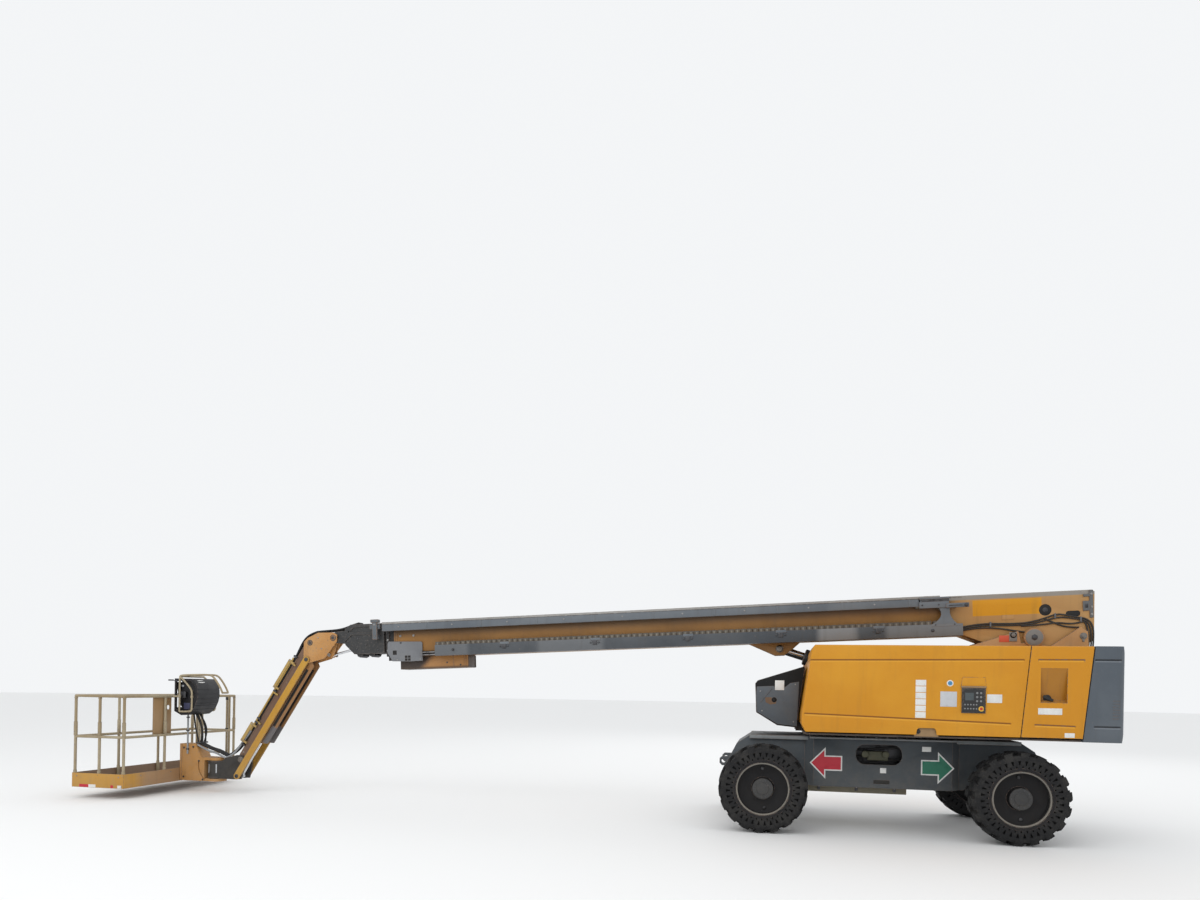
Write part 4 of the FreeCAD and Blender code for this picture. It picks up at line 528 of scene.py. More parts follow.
hose_rubber = [rubber("hose_rubber")]
olive_cast = [enamel("olive_cast", (0.052, 0.055, 0.026), (0.08, 0.08, 0.04), dirt=0.6, chips=0.3)]
hose_size = 0.014
runs = []
for side in sides:
    deep = side * 0.50
    valve_middle = Vector((slew_x - 0.04, deep, 0.90))
    runs.append(block("valve", (0.24, 0.10, 0.11), valve_middle, olive_cast, 0.008))
    for shift in (-0.15, 0.09):
        plug = valve_middle + Vector((shift, side * 0.05, 0.02))
        runs.append(between("plug", plug, plug + Vector((0, side * 0.035, 0)), 0.042, olive_cast, 20, 0.006))
    for level, bow in ((0.83, 0.05), (0.865, -0.02), (0.99, 0.03)):
        path = [(slew_x + along, deep + side * 0.03 * math.cos(7 * along), level + bow * math.sin(4 * along))
                for along in (-0.5, -0.32, -0.12, 0.1, 0.3, 0.5)]
        runs.append(hose("hose", path, hose_size, hose_rubber))
    runs.append(block("inner_plate", (0.86, 0.008, 0.44), (slew_x, side * 0.405, 0.92), dark_steel, 0.002))
as_one("chassis_hoses", runs, "chassis")


# ---------------------------------------------------------------- belly tray
# A shallow khaki sheet tray under the chassis, hung on spring clips along its rims.
khaki_paint = pair_of("khaki_paint", (0.145, 0.130, 0.078), (0.20, 0.18, 0.12), dirt=0.9, chips=0.4)
dress("belly_tray", khaki_paint, 0.002)
tray_low, tray_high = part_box("belly_tray")
clips = []
for side, face in ((-1, tray_low.y), (1, tray_high.y)):
    for along in (0.12, 0.50, 0.88):
        at = tray_low.x + along * (tray_high.x - tray_low.x)
        clips.append(block("clip", (0.035, 0.010, 0.060), (at, face + side * 0.005, tray_high.z - 0.035),
                           dark_steel))
        clips += bolt((at, face + side * 0.010, tray_high.z - 0.020), (0, side, 0), 0.009, bolt_steel)
as_one("belly_tray_clips", clips, "chassis")


# ---------------------------------------------------------------- axles and knuckles
# The fixed axle is a welded beam; the steered one carries a cast knuckle on a king pin at each end.
# All are black-blue under a coat of road dust, with grease round the king pins.
def around(count, radius):
    """Places spaced evenly round a circle."""
    return [(radius * math.cos(turn * math.tau / count), radius * math.sin(turn * math.tau / count))
            for turn in range(count)]


axle_paint = pair_of("axle_paint", (0.050, 0.056, 0.062), (0.075, 0.078, 0.080), dirt=0.95, chips=0.4)
for node in ("fixed_axle", "steer_axle"):
    dress(node, axle_paint, 0.006)
cap_foot, cap_top = 0.150, 0.158
for hand in ("left", "right"):
    dress("steering_knuckle_" + hand, axle_paint, 0.005)
    pin = Vector(joints["steer_" + hand]["pos_m"])
    nipples = [between("cap", (0, 0, cap_foot), (0, 0, cap_top), 0.046, bolt_steel, 24,
                       base=Matrix.Translation(pin))]
    for along, across in around(6, 0.030):
        nipples += bolt(pin + Vector((along, across, cap_top)), (0, 0, 1), 0.006, bolt_steel)
    as_one("king_pin_cap_" + hand, nipples, "chassis")


# ---------------------------------------------------------------- tyres
# Solid rubber tyres with heavy slanted lugs, half a pitch apart on the two shoulders.
# Two staggered rows of triangular hollows round each sidewall let the rubber flex.
tyre_radius = 0.520
tread_root = 0.487
tyre_half = 0.1925
lug_slant = math.radians(7)
wheel_steps = 72
lug_pitch = 4
hollow_rows = (0.326, 0.374, 0.428)
hollow_depth = 0.034
hollow_wall = 0.0025
hollow_taper = 0.8


def spun(name, outline, steps, finishes, radius=0.0, steepest=32):
    """A ring or disc turned about the Y axis from a closed outline of (y, r) points."""
    piece = traced(name, [(0.0, across, out) for across, out in outline + outline[:1]])
    bpy.ops.mesh.remove_doubles(threshold=0.00001)
    bpy.ops.mesh.select_all(action="SELECT")
    bpy.ops.mesh.spin(steps=steps, angle=math.tau, center=(0.0, 0.0, 0.0), axis=(0.0, 1.0, 0.0))
    bpy.ops.mesh.select_all(action="SELECT")
    bpy.ops.mesh.remove_doubles(threshold=0.00001)
    bpy.ops.mesh.normals_make_consistent(inside=False)
    bpy.ops.object.mode_set(mode="OBJECT")
    return round_off(piece, finishes, radius, 1, steepest)


def step_of(face):
    """Which of the wheel's equal steps a face lies in."""
    turned = math.atan2(face.center.x, face.center.z) % math.tau
    return int(turned / math.tau * wheel_steps + 0.001)


def reach(face):
    """How far a face lies from the wheel's axis."""
    return math.hypot(face.center.x, face.center.z)


def build_tyre(finishes):
    """One tyre about the origin, its axis along Y."""
    inner_row, middle_row, outer_row = hollow_rows
    half = [(0.150, 0.290), (0.183, 0.308), (tyre_half - 0.003, inner_row), (tyre_half - 0.001, middle_row),
            (tyre_half - 0.002, outer_row), (0.1895, 0.446), (0.186, 0.464), (0.176, 0.481),
            (0.095, tread_root)]
    outline = half + [(0.0, tread_root)] + [(-across, out) for across, out in reversed(half)]
    tyre = spun("tyre", outline, wheel_steps, finishes)
    for low, high, share in ((0.12, 1.0, 1.0), (0.05, 0.12, 0.45)):
        take_up(tyre)
        bpy.ops.object.mode_set(mode="EDIT")
        bpy.ops.mesh.select_mode(type="VERT")
        bpy.ops.mesh.select_all(action="DESELECT")
        bpy.ops.object.mode_set(mode="OBJECT")
        for corner in tyre.data.vertices:
            corner.select = low < abs(corner.co.y) <= high
        bpy.ops.object.mode_set(mode="EDIT")
        bpy.ops.transform.rotate(value=lug_slant * share, orient_axis="Y", center_override=(0.0, 0.0, 0.0))
        bpy.ops.object.mode_set(mode="OBJECT")

    for side in sides:
        lag = 0 if side < 0 else lug_pitch // 2
        for low, high, scale in ((0.478, 0.60, tyre_radius / tread_root), (0.440, 0.4785, 1.035)):
            pick_faces(tyre, lambda face: face.center.y * side > 0.001 and low < reach(face) < high
                       and abs(face.center.y) < 0.1889 and (step_of(face) + lag) % lug_pitch < 2)
            bpy.ops.mesh.extrude_region_move()
            bpy.ops.transform.resize(value=(scale, 1.0, scale), center_override=(0.0, 0.0, 0.0))
            bpy.ops.object.mode_set(mode="OBJECT")
        for row, odd in ((0, 0), (1, 1)):
            low, high = hollow_rows[row], hollow_rows[row + 1]
            pick_faces(tyre, lambda face: face.center.y * side > 0.18 and low < reach(face) < high
                       and step_of(face) % 2 == odd)
            bpy.ops.mesh.inset(thickness=hollow_wall, use_individual=True)
            bpy.ops.object.mode_set(mode="OBJECT")
            for face in [face for face in tyre.data.polygons if face.select]:
                corners = sorted((tyre.data.vertices[v] for v in face.vertices),
                                 key=lambda corner: math.hypot(corner.co.x, corner.co.z), reverse=row == 0)
                tip = (corners[0].co + corners[1].co) / 2
                for corner in corners[:2]:
                    corner.co = corner.co.lerp(tip, hollow_taper)
            bpy.ops.object.mode_set(mode="EDIT")
            inward = (0.0, -side * hollow_depth, 0.0)
            bpy.ops.mesh.extrude_region_move(TRANSFORM_OT_translate={"value": inward})
            bpy.ops.object.mode_set(mode="OBJECT")
    return round_off(tyre, finishes, 0.003, 1, 30)


tyre_rubber = [rubber("tyre_rubber", (0.014, 0.014, 0.015), 0.6, 0.72, 0.2)]
first_tyre = build_tyre(tyre_rubber)
wheel_names = [f"{end}_{hand}" for end in ("fixed", "steered") for hand in ("right", "left")]
for wheel_name in wheel_names:
    take_up(first_tyre)
    bpy.ops.object.duplicate()
    tyre = put_down(bpy.context.object, Vector(joints["wheel_spin_" + wheel_name]["pos_m"]))
    tyre.name = "tyre_tread_" + wheel_name
    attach(tyre, "wheel_" + wheel_name)
    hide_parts("tyre_" + wheel_name)
bpy.data.objects.remove(first_tyre)


# ---------------------------------------------------------------- wheel discs and hubs
# Deep-dished steel discs in charcoal, a pale lip, ten nuts round the drive hub and a rubbed hub cap.
# Two screwed plugs stand on the disc between the hub and the lip.
disc_paint = pair_of("charcoal_disc", (0.006, 0.006, 0.008), (0.013, 0.013, 0.015), dirt=0.10, chips=0.15,
                     shine=0.2)
lip_metal = [enamel("rim_lip", (0.125, 0.118, 0.105), (0.20, 0.185, 0.16), dirt=0.7, chips=0.5, worn=0.3)]
hub_grey = [enamel("hub_grey", (0.014, 0.016, 0.019), (0.030, 0.032, 0.035), dirt=0.3, chips=0.5)]
lip_outline = [(-0.006, 0.290), (-0.003, 0.298), (-0.005, 0.306), (-0.012, 0.310), (-0.030, 0.308),
               (-0.030, 0.290)]
nut_circle = 0.098
plug_circle = 0.235
disc_face = -0.128
hub_face = -0.040
for wheel_name in wheel_names:
    dress("rim_" + wheel_name, disc_paint, 0.003)
    hub = Vector(joints["wheel_spin_" + wheel_name]["pos_m"])
    side = 1 if hub.y > 0 else -1
    wheel = Matrix.Translation(hub + Vector((0, side * tyre_half, 0))) @ Matrix.Scale(side, 4, (0, 1, 0))
    fittings = [put_down(spun("lip_ring", lip_outline, 72, lip_metal, 0.002), wheel)]
    for radius, out, vertices, bevel in ((0.074, 0.012, 28, 0.010), (0.122, 0.004, 40, 0.008)):
        fittings.append(between("cap", (0, hub_face - 0.02, 0), (0, hub_face + out, 0), radius, hub_grey,
                                vertices, bevel, wheel))
    for along, up in around(10, nut_circle):
        fittings += bolt(wheel @ Vector((along, hub_face, up)), (0, side, 0), 0.010, dark_steel)
    for angle in (math.radians(92), math.radians(-85)):
        along, up = plug_circle * math.cos(angle), plug_circle * math.sin(angle)
        fittings.append(between("plug", (along, disc_face, up), (along, disc_face + 0.012, up), 0.020,
                                dark_steel, 20, 0.004, wheel))
    as_one("wheel_fittings_" + wheel_name, fittings, "wheel_" + wheel_name)


# ---------------------------------------------------------------- slew ring
# A rolling bearing bolted between the chassis and the turntable, its teeth hidden under the deck.
# It is bare cast steel, brown with old grease, held by a ring of hexagon bolts.
cast_paint = pair_of("greasy_cast", (0.060, 0.056, 0.052), (0.10, 0.09, 0.08), dirt=0.9, chips=0.5)
dress("slew_ring", cast_paint, 0.004)
ring_low, ring_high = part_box("slew_ring")
ring_reach = (ring_high.x - ring_low.x) / 2 + 0.035
ring_bolts = []
for along, across in around(30, ring_reach):
    ring_bolts += bolt(machine @ Vector((along, across, ring_low.z)), (0, 0, 1), 0.014, bolt_steel)
as_one("slew_ring_bolts", ring_bolts, "chassis")


# ---------------------------------------------------------------- turntable frame
# Two welded cheeks of thick plate on a flat deck carry the boom pivot and the lift cylinder's foot.
# They are sprayed tan-orange, faded on top, with turned pins held by small keeper plates.
def machine_spot(along, across, up):
    """A place measured from the slewing axis."""
    return Vector((slew_x + along, across, up))


def disc_stack(name, centre, side, rings, finishes, vertices=28):
    """Round bosses and pins on one face: each ring is (radius, how far out from the centre its face is)."""
    centre = Vector(centre)
    made = []
    last = 0.0
    for radius, out in rings:
        start = centre + Vector((0, side * (min(last, out) - 0.004), 0))
        made.append(between(name, start, centre + Vector((0, side * out, 0)), radius, finishes, vertices,
                            0.003))
        last = out
    return made


def side_bolts(base, spots, across, size, finishes):
    """Bolt heads on one side of a piece, at (along, up) spots in its frame and a distance across it."""
    outward = (0, 1 if across > 0 else -1, 0)
    return [part for along, up in spots
            for part in bolt(base @ Vector((along, across, up)), outward, size, finishes)]


def pin_ends(middle, reach, rings, finishes, vertices=28):
    """The two ends of a pin that goes through a piece, whose outer faces are at a reach from its middle."""
    made = []
    for side in sides:
        made += disc_stack("pin", middle + Vector((0, side * reach, 0)), side, rings, finishes, vertices)
    return made


def measured(place, base, axis):
    """How far each point lies along one axis of a tilted frame."""
    toward = base.col[axis].xyz
    reach = place.add("VectorMath", {0: place, 1: toward}, {"operation": "DOT_PRODUCT"}, "Value")
    return reach - toward.dot(base.translation)


def zone(value, low, high, blur=0.006):
    """1 between two limits and 0 outside them."""
    return rise(value, low - blur, low + blur) * rise(value, high + blur, high - blur)


def patch(base, tint, share, *limits):
    """Another colour within limits on a frame's axes, as strong as its share.

    Each limit is (axis, where it starts, where it is full), or (axis, low, high, blur) for a band."""
    def mask(place):
        product = None
        for axis, *levels in limits:
            level = measured(place, base, axis)
            part = zone(level, *levels) if len(levels) == 3 else rise(level, *levels)
            product = part if product is None else product * part
        return product if share == 1 else product * share

    return mask, tint


deck_patch = patch(Matrix.Translation((0.0, 0.0, 1.30)), (0.050, 0.036, 0.026), 1, (2, 0.010, -0.010))
tan_paint = pair_of("tan_plate", (0.42, 0.205, 0.070), (0.50, 0.30, 0.14), dirt=0.55, chips=0.3,
                    patches=(deck_patch,))
bush_metal = [bare_metal("bush_metal", (0.23, 0.21, 0.19), 0.45, 0.7)]
flange_grey = [enamel("flange_grey", (0.20, 0.195, 0.185), (0.27, 0.26, 0.24), dirt=0.6, chips=0.5)]
dress("turntable_frame", tan_paint, 0.004)
cheek_face = 0.245
boss_face = 0.270
front_tower = machine_spot(1.541, 0, 2.398)
rear_tower = machine_spot(2.318, 0, 2.392)
pivot = Vector(joints["boom_lift"]["pos_m"])
pins = [
    *pin_ends(pivot, boss_face, ((0.100, 0.008), (0.086, 0.012)), flange_grey, 40),
    *pin_ends(pivot, boss_face + 0.010, ((0.040, 0.004), (0.026, 0.012)), dark_steel, 6),
    *pin_ends(front_tower, cheek_face, ((0.040, 0.010), (0.026, 0.022)), bush_metal),
    *pin_ends(rear_tower, cheek_face, ((0.040, 0.010), (0.026, 0.020)), bush_metal),
]
for side in sides:
    keeper = rear_tower + Vector((0, side * (cheek_face + 0.004), -0.052))
    pins.append(block("keeper", (0.026, 0.008, 0.034), keeper, bush_metal))
    pin_block = front_tower + Vector((0, side * cheek_face, -0.02))
    pins.append(block("pin_block", (0.090, 0.020, 0.115), pin_block, flange_grey, 0.012, 3))
    pins += side_bolts(machine, ((1.700, 2.300), (1.845, 2.306)), side * cheek_face, 0.011, bolt_steel)
as_one("turntable_pins", pins, "turntable")

label_red = plain_film("label_red", (0.62, 0.09, 0.035), 0.45, 0.5)
red_label = label(0.114, 0.080, 1.440, -cheek_face - label_skin / 2, 2.354, label_red)
as_one("turntable_blank_label", [red_label], "turntable")


# ---------------------------------------------------------------- counterweight
# One heavy casting that closes the tail, rounded at its rear corners and slotted for the boom.
# Two shallow rims run round it, and short ticks are cast into each side near the rear edge.
def tilted(origin, toward):
    """A frame at a point, its first axis along a piece and its third standing up from it."""
    along = Vector(toward).normalized()
    across = Vector((0.0, 1.0, 0.0))
    turn = Matrix((along, across, along.cross(across))).transposed()
    return Matrix.Translation(origin) @ turn.to_4x4()


def pressed_line(start, end, dark, bright):
    """Paint along one pressed line: painted shadow in the line, painted highlight on the ledge below it."""
    run = end[0] - start[0]
    lines = []
    for shift, height, tint in (dark, bright):
        base = tilted(machine_spot(start[0], 0, start[1] + shift), (run, 0, end[1] - start[1]))
        lines.append(patch(base, tint, 1, (2, -height / 2, height / 2, 0.0015), (0, 0.0, run, 0.010)))
    return lines


rim_levels = (2.064, 1.339)
rim_start, rim_end = 2.110, 2.372
# Each rim gets a band of painted shadow under its ledge and a band of painted highlight below it.
rim_patches = []
for level in rim_levels:
    rim_patches += pressed_line((rim_start, level), (rim_end, level), (0.003, 0.018, (0.028, 0.034, 0.042)),
                                (-0.015, 0.014, (0.170, 0.190, 0.215)))
weight_paint = pair_of("weight_blue_grey", (0.078, 0.094, 0.113), (0.112, 0.130, 0.148), dirt=0.45,
                       chips=0.35, patches=rim_patches)
weight_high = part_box("counterweight")[1]


def groove(start, end, face, side, finishes, depth=0.0068):
    """A cutter for one pressed line: a sharp ledge above and a long slope that runs out below it."""
    first = start if side < 0 else end
    run = (end[0] - start[0], end[1] - start[1])
    place = (
        Matrix.Translation(machine_spot(first[0], side * face, first[1]))
        @ Matrix.Rotation(-math.atan2(run[1], run[0]), 4, "Y")
        @ Matrix.Rotation(math.radians(90 * side), 4, "Z")
    )
    section = ((0.02, 0.006), (-depth, 0.003), (-depth, -0.004), (0.0, -0.030), (0.02, -0.034))
    return outlined("cut", section, math.hypot(*run), place, finishes, 0.0)


cutters = []
for level in rim_levels:
    for side in sides:
        cutters.append(groove((rim_start, level), (rim_end, level), weight_high.y, side, weight_paint, 0.014))
        middle = (weight_high.x + 0.018, side * 0.72, level)
        cutters.append(block("cut", (0.06, 0.72, 0.022), middle, weight_paint, 0.0))
dress("counterweight", weight_paint, 0.005, cutters, 3)
ticks = []
for side in sides:
    for step in range(7):
        middle = machine_spot(2.328, side * weight_high.y, 1.430 + step * 0.032)
        ticks.append(block("tick", (0.072, 0.008, 0.010), middle, weight_paint))
    for along in (2.19, 2.36):
        eye = (along, side * 0.75, weight_high.z)
        ticks.append(between("eye", eye, (*eye[:2], weight_high.z + 0.012), 0.040, cast_paint, 24, 0.004,
                             machine))
as_one("counterweight_details", ticks, "turntable")


# ---------------------------------------------------------------- front cover
# A folded sheet-metal nose in front of the hoods, sprayed black, with a light grey panel on its lower part.
# A blank label, a shallow pocket and a pin head sit on each side.
cover_black = pair_of("cover_black", (0.004, 0.0045, 0.005), (0.009, 0.010, 0.011), dirt=0.22, chips=0.25,
                      gloss=0.50, shine=0.25)
cover_grey = pair_of("cover_grey", (0.080, 0.092, 0.106), (0.120, 0.130, 0.142), dirt=0.5, chips=0.4)
rust_brown = [enamel("rust_brown", (0.150, 0.085, 0.045), (0.22, 0.14, 0.08), dirt=0.9, chips=0.6)]
dress("front_cover", cover_black, 0.006, segments=3)
nose_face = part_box("front_cover")[1].y
panel_line = ((-1.500, 1.722), (-1.298, 1.733), (-1.220, 1.702), (-1.175, 1.704), (-1.089, 1.772),
              (-0.985, 1.790), (-1.004, 1.236), (-1.240, 1.258), (-1.492, 1.408), (-1.508, 1.60))
brace_line = ((-1.462, 1.532), (-1.444, 1.526), (-1.308, 1.698), (-1.322, 1.708))
scuff_line = ((-1.394, 1.587), (-1.330, 1.592), (-1.259, 1.560), (-1.262, 1.512), (-1.330, 1.500),
              (-1.388, 1.528))
screw_spots = ((-1.455, 1.665), (-1.030, 1.755), (-1.045, 1.290), (-1.430, 1.420))
for hand, side in (("right", -1), ("left", 1)):
    layers = []
    for name, line, skin, out, finish, radius in (
            ("lower_panel", panel_line, 0.006, 0.004, cover_grey, 0.002),
            ("pressed_rib", brace_line, 0.008, 0.008, cover_grey, 0.002),
            ("scuff", scuff_line, 0.002, 0.0048, rust_brown, 0.0)):
        across = side * (nose_face + out) - (skin if side > 0 else 0)
        layers.append(outlined(name, line, skin, machine_spot(0, across, 0), finish, radius))
    pocket = machine_spot(-1.285, side * nose_face, 1.560)
    layers += disc_stack("pocket", pocket, side, ((0.034, 0.006), (0.012, 0.010)), cover_black)
    layers.append(label(0.112, 0.120, -1.221, side * (nose_face + 0.006), 1.742, white_film))
    layers += side_bolts(machine, screw_spots, side * (nose_face + 0.004), 0.008, bolt_steel)
    as_one("front_cover_panel_" + hand, layers, "turntable")


# ---------------------------------------------------------------- hoods and rear doors
# Moulded covers over the engine and the tanks, orange-yellow, two to a side, hinged at the top inboard edge.
# A pressed line runs along the top and the bottom, and each door has a scooped recess with a black latch.
def edgewise(from_x, to_x, across, side):
    """A frame for an outline of (outward, up) points that runs along one side of the machine."""
    corner = machine_spot(from_x if side < 0 else to_x, across, 0)
    return Matrix.Translation(corner) @ Matrix.Rotation(math.radians(90 * side), 4, "Z")


hood_lines = (((-0.880, 2.034), (1.405, 2.058)), ((-0.940, 1.414), (1.278, 1.350)))
door_lines = (((1.545, 2.060), (2.010, 2.062)), ((1.520, 1.345), (1.925, 1.336)))
shadow_yellow = (0.290, 0.105, 0.004)
highlight_yellow = (0.68, 0.320, 0.020)
# Each pressed line gets a band of painted shadow under its ledge and a band of painted highlight below it.
line_patches = []
for ends in hood_lines + door_lines:
    line_patches += pressed_line(*ends, (0.004, 0.017, shadow_yellow), (-0.013, 0.014, highlight_yellow))
hood_paint = pair_of("hood_yellow", (0.57, 0.235, 0.004), (0.63, 0.285, 0.010), dirt=0.26, chips=0.10,
                     gloss=0.42, patches=line_patches)
# The scooped recess and its cheeks take a darker yellow as painted shade.
shade_paint = pair_of("recess_yellow", (0.36, 0.150, 0.012), (0.46, 0.21, 0.02), dirt=0.8, chips=0.3)
tan_pan = pair_of("tan_recess", (0.27, 0.165, 0.075), (0.34, 0.22, 0.11), dirt=0.7, chips=0.3)
handle_black = [rubber("handle_black", (0.018, 0.018, 0.019), 0.35, 0.45)]
side_skin = 1.225
recess_low, recess_high = 1.592, 1.970
recess_start, recess_end = 1.573, 1.839
recess_deep = 0.058
mouth_start, mouth_end = 0.285, 0.510
mouth = ((mouth_start, 1.19), (mouth_start + 0.012, 1.262), (mouth_start + 0.030, 1.281),
         (mouth_end - 0.030, 1.281), (mouth_end - 0.012, 1.262), (mouth_end, 1.19))
window = ((recess_start, recess_low), (recess_end, recess_low), (recess_end, recess_high),
          (recess_start, recess_high))
inner = ((-0.001, recess_high + 0.003), (-recess_deep, recess_low + 0.060),
         (-recess_deep, recess_low + 0.030), (-0.001, recess_low - 0.003))
outer = ((-0.008, recess_low - 0.006), (-recess_deep - 0.005, recess_low + 0.026),
         (-recess_deep - 0.005, recess_low + 0.062), (-0.008, recess_high + 0.006))
for hand, side in (("right", -1), ("left", 1)):
    for node, lines, opening in (("_hood", hood_lines, mouth), ("_rear_door", door_lines, window)):
        cutters = [groove(*ends, side_skin, side, hood_paint) for ends in lines]
        place = machine_spot(0, side * side_skin - 0.05, 0)
        cutters.append(outlined("cut", opening, 0.10, place, hood_paint, 0.0))
        dress(hand + node, hood_paint, 0.004, cutters, 3)

    place = edgewise(recess_start - 0.004, recess_end + 0.004, side * side_skin, side)
    scoop = [outlined("scoop", inner + outer, recess_end - recess_start + 0.008, place, shade_paint)]
    for from_x in (recess_start - 0.005, recess_end):
        place = edgewise(from_x, from_x + 0.005, side * (side_skin - 0.001), side)
        scoop.append(outlined("cheek", inner, 0.005, place, shade_paint, 0.0))
    latch = machine_spot(1.655, side * (side_skin - recess_deep), 1.640)
    scoop += disc_stack("latch", latch, side, ((0.040, 0.010), (0.020, 0.034)), handle_black)
    lever = Matrix.Translation(latch + Vector((0.0, side * 0.036, 0.0))) @ Matrix.Rotation(0.45, 4, "Y")
    scoop.append(block("lever", (0.115, 0.016, 0.030), lever, handle_black, 0.006, 3))
    as_one(hand + "_door_latch", scoop, hand + "_rear_door")

    lock = [block("pan", (0.26, 0.006, 0.110), machine_spot(0.400, side * 1.196, 1.238), tan_pan, 0.002)]
    barrel = machine_spot(0.312, side * 1.198, 1.240)
    lock += disc_stack("lock", barrel, side, ((0.026, 0.010), (0.013, 0.014)), handle_black)
    as_one(hand + "_hood_lock", lock, hand + "_hood")

blue_film = plain_film("blue_film", (0.05, 0.22, 0.42))
pale_film = plain_film("pale_film", (0.52, 0.53, 0.55), 0.3)
label_face = -side_skin - label_skin / 2
labels = [label(0.112, 0.066, 0.330, label_face, 1.428 + step * 0.0725, white_film) for step in range(6)]
labels += [label(0.175, 0.170, 0.625, label_face, 1.612, pale_film),
           label(0.156, 0.094, 1.104, label_face, 1.626, white_film)]
for radius, out, film in ((0.036, 0.0015, white_film), (0.026, 0.0022, blue_film)):
    labels += disc_stack("label", machine_spot(0.639, -side_skin, 1.790), -1, ((radius, out),), [film])
as_one("right_hood_blank_labels", labels, "right_hood")
labels = [label(0.242, 0.070, 1.671, label_face, 1.497, white_film),
          label(0.100, 0.050, 1.870, label_face, 1.240, white_film)]
as_one("right_door_blank_labels", labels, "right_rear_door")


# ---------------------------------------------------------------- ground control panel
# A black moulded plate on the right hood under a shallow visor, used to work the machine from the ground.
# It has a grey display, rows of push buttons and toggles, and a yellow-ringed red stop knob.
panel_black = pair_of("panel_black", (0.010, 0.010, 0.011), (0.03, 0.03, 0.03), dirt=0.3, chips=0.2,
                      gloss=0.35)
display_glass = [plain_film("display_glass", (0.060, 0.075, 0.080), 0.12, 0.1)]
stop_red = [enamel("stop_red", (0.42, 0.012, 0.010), (0.5, 0.03, 0.02), dirt=0.2, chips=0.1, gloss=0.3)]
stop_yellow = [enamel("stop_yellow", (0.66, 0.36, 0.02), (0.7, 0.42, 0.05), dirt=0.3, chips=0.1, gloss=0.35)]
button_grey = [enamel("button_grey", (0.16, 0.165, 0.17), (0.22, 0.22, 0.22), dirt=0.3, chips=0.1)]
dress("ground_control_panel", panel_black, 0.004, segments=3)
panel_low, panel_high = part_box("ground_control_panel")
ground_panel = Matrix.Translation(((panel_low.x + panel_high.x) / 2, panel_low.y, panel_low.z))
controls = []
for along, up, width, height in ((0.0, 0.268, 0.236, 0.012), (-0.108, 0.14, 0.010, 0.24),
                                 (0.108, 0.14, 0.010, 0.24)):
    middle = ground_panel @ Vector((along, 0.001, up))
    controls.append(block("rim", (width, 0.005, height), middle, panel_black, 0.002))
middle = ground_panel @ Vector((-0.045, 0.001, 0.185))
controls.append(block("display", (0.090, 0.004, 0.085), middle, display_glass, 0.002))
buttons = [(along, up, 0.012, 20) for up in (0.135, 0.180, 0.225) for along in (0.035, 0.075)]
buttons += [(-0.090 + column * 0.030, up, 0.009, 16) for column in range(5) for up in (0.095, 0.050)]
for along, up, radius, vertices in buttons:
    controls.append(between("button", (along, 0, up), (along, -0.0018, up), radius, button_grey, vertices,
                            0.001, ground_panel))
knob = ground_panel @ Vector((0.080, 0, 0.050))
controls += disc_stack("knob", knob, -1, ((0.030, 0.001),), stop_yellow)
controls += disc_stack("knob", knob, -1, ((0.017, 0.0018),), stop_red)
as_one("ground_panel_controls", controls, "right_hood")
visor_line = ((-0.135, 0.0), (-0.118, 0.118), (0.118, 0.118), (0.135, 0.0))
visor_foot = Matrix.Translation((ground_panel.translation.x, panel_low.y, panel_high.z))
visor = [outlined("visor", visor_line, 0.008, visor_foot @ Vector((0, 0.012, 0.004)), hood_paint, 0.004),
         block("lip", (0.262, 0.015, 0.020), visor_foot @ Vector((0, 0.008, 0.012)), tan_pan, 0.004)]
as_one("ground_panel_visor", visor, "right_hood")


# ---------------------------------------------------------------- engine
# A water-cooled diesel under the left hood: a cast block with a rocker cover, a filter and a ribbed manifold.
# It is oily grey casting, and only an opened hood or the underside shows it.
engine_paint = pair_of("engine_grey", (0.075, 0.078, 0.080), (0.12, 0.12, 0.12), dirt=0.8, chips=0.4)
engine_node = next(name for name in frame["nodes"] if name.startswith("engine"))
dress(engine_node, engine_paint, 0.012)
engine_low, engine_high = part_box(engine_node)
engine_middle = (engine_low + engine_high) / 2
engine_size = engine_high - engine_low
engine_top = Matrix.Translation((*engine_middle.xy, engine_high.z))
extras = [block("rocker_cover", (engine_size.x * 0.72, 0.20, 0.07), engine_top @ Vector((0, 0, 0.030)),
                engine_paint, 0.015, 3)]
for step in range(7):
    along = engine_size.x * (0.14 + 0.12 * step - 0.5)
    middle = engine_middle + Vector((along, engine_size.y / 2 + 0.006, 0))
    extras.append(block("rib", (0.020, 0.020, engine_size.z * 0.75), middle, engine_paint, 0.005))
    extras.append(block("rib", (0.020, 0.22, 0.012), engine_top @ Vector((along, 0, 0.068)), engine_paint))
pipe_start = Vector((engine_low.x + 0.10, engine_high.y + 0.055, engine_high.z - 0.10))
extras.append(between("manifold", pipe_start, pipe_start + Vector((engine_size.x - 0.2, 0, 0)), 0.040,
                      cast_paint))
extras.append(between("filter", (-0.15, 0.19, 0.09), (0.17, 0.19, 0.09), 0.075, handle_black, 28, 0.012,
                      engine_top))
as_one("engine_details", extras, "turntable")


# ---------------------------------------------------------------- base boom
# The outer boom section, a long welded box of thin high-strength plate, sprayed orange and browned by oil and
# by painted shade.
# Its tail carries the boom pivot, a lightening hole and an access window under one brighter panel of paint.
def bar(name, low, high, finishes, radius=0.003, base=None, segments=2):
    """A box between two opposite corners that are given in a tilted frame."""
    low, high = Vector(tuple(map(min, low, high))), Vector(tuple(map(max, low, high)))
    return block(name, high - low, (base or boom) @ Matrix.Translation((low + high) / 2), finishes, radius,
                 segments)


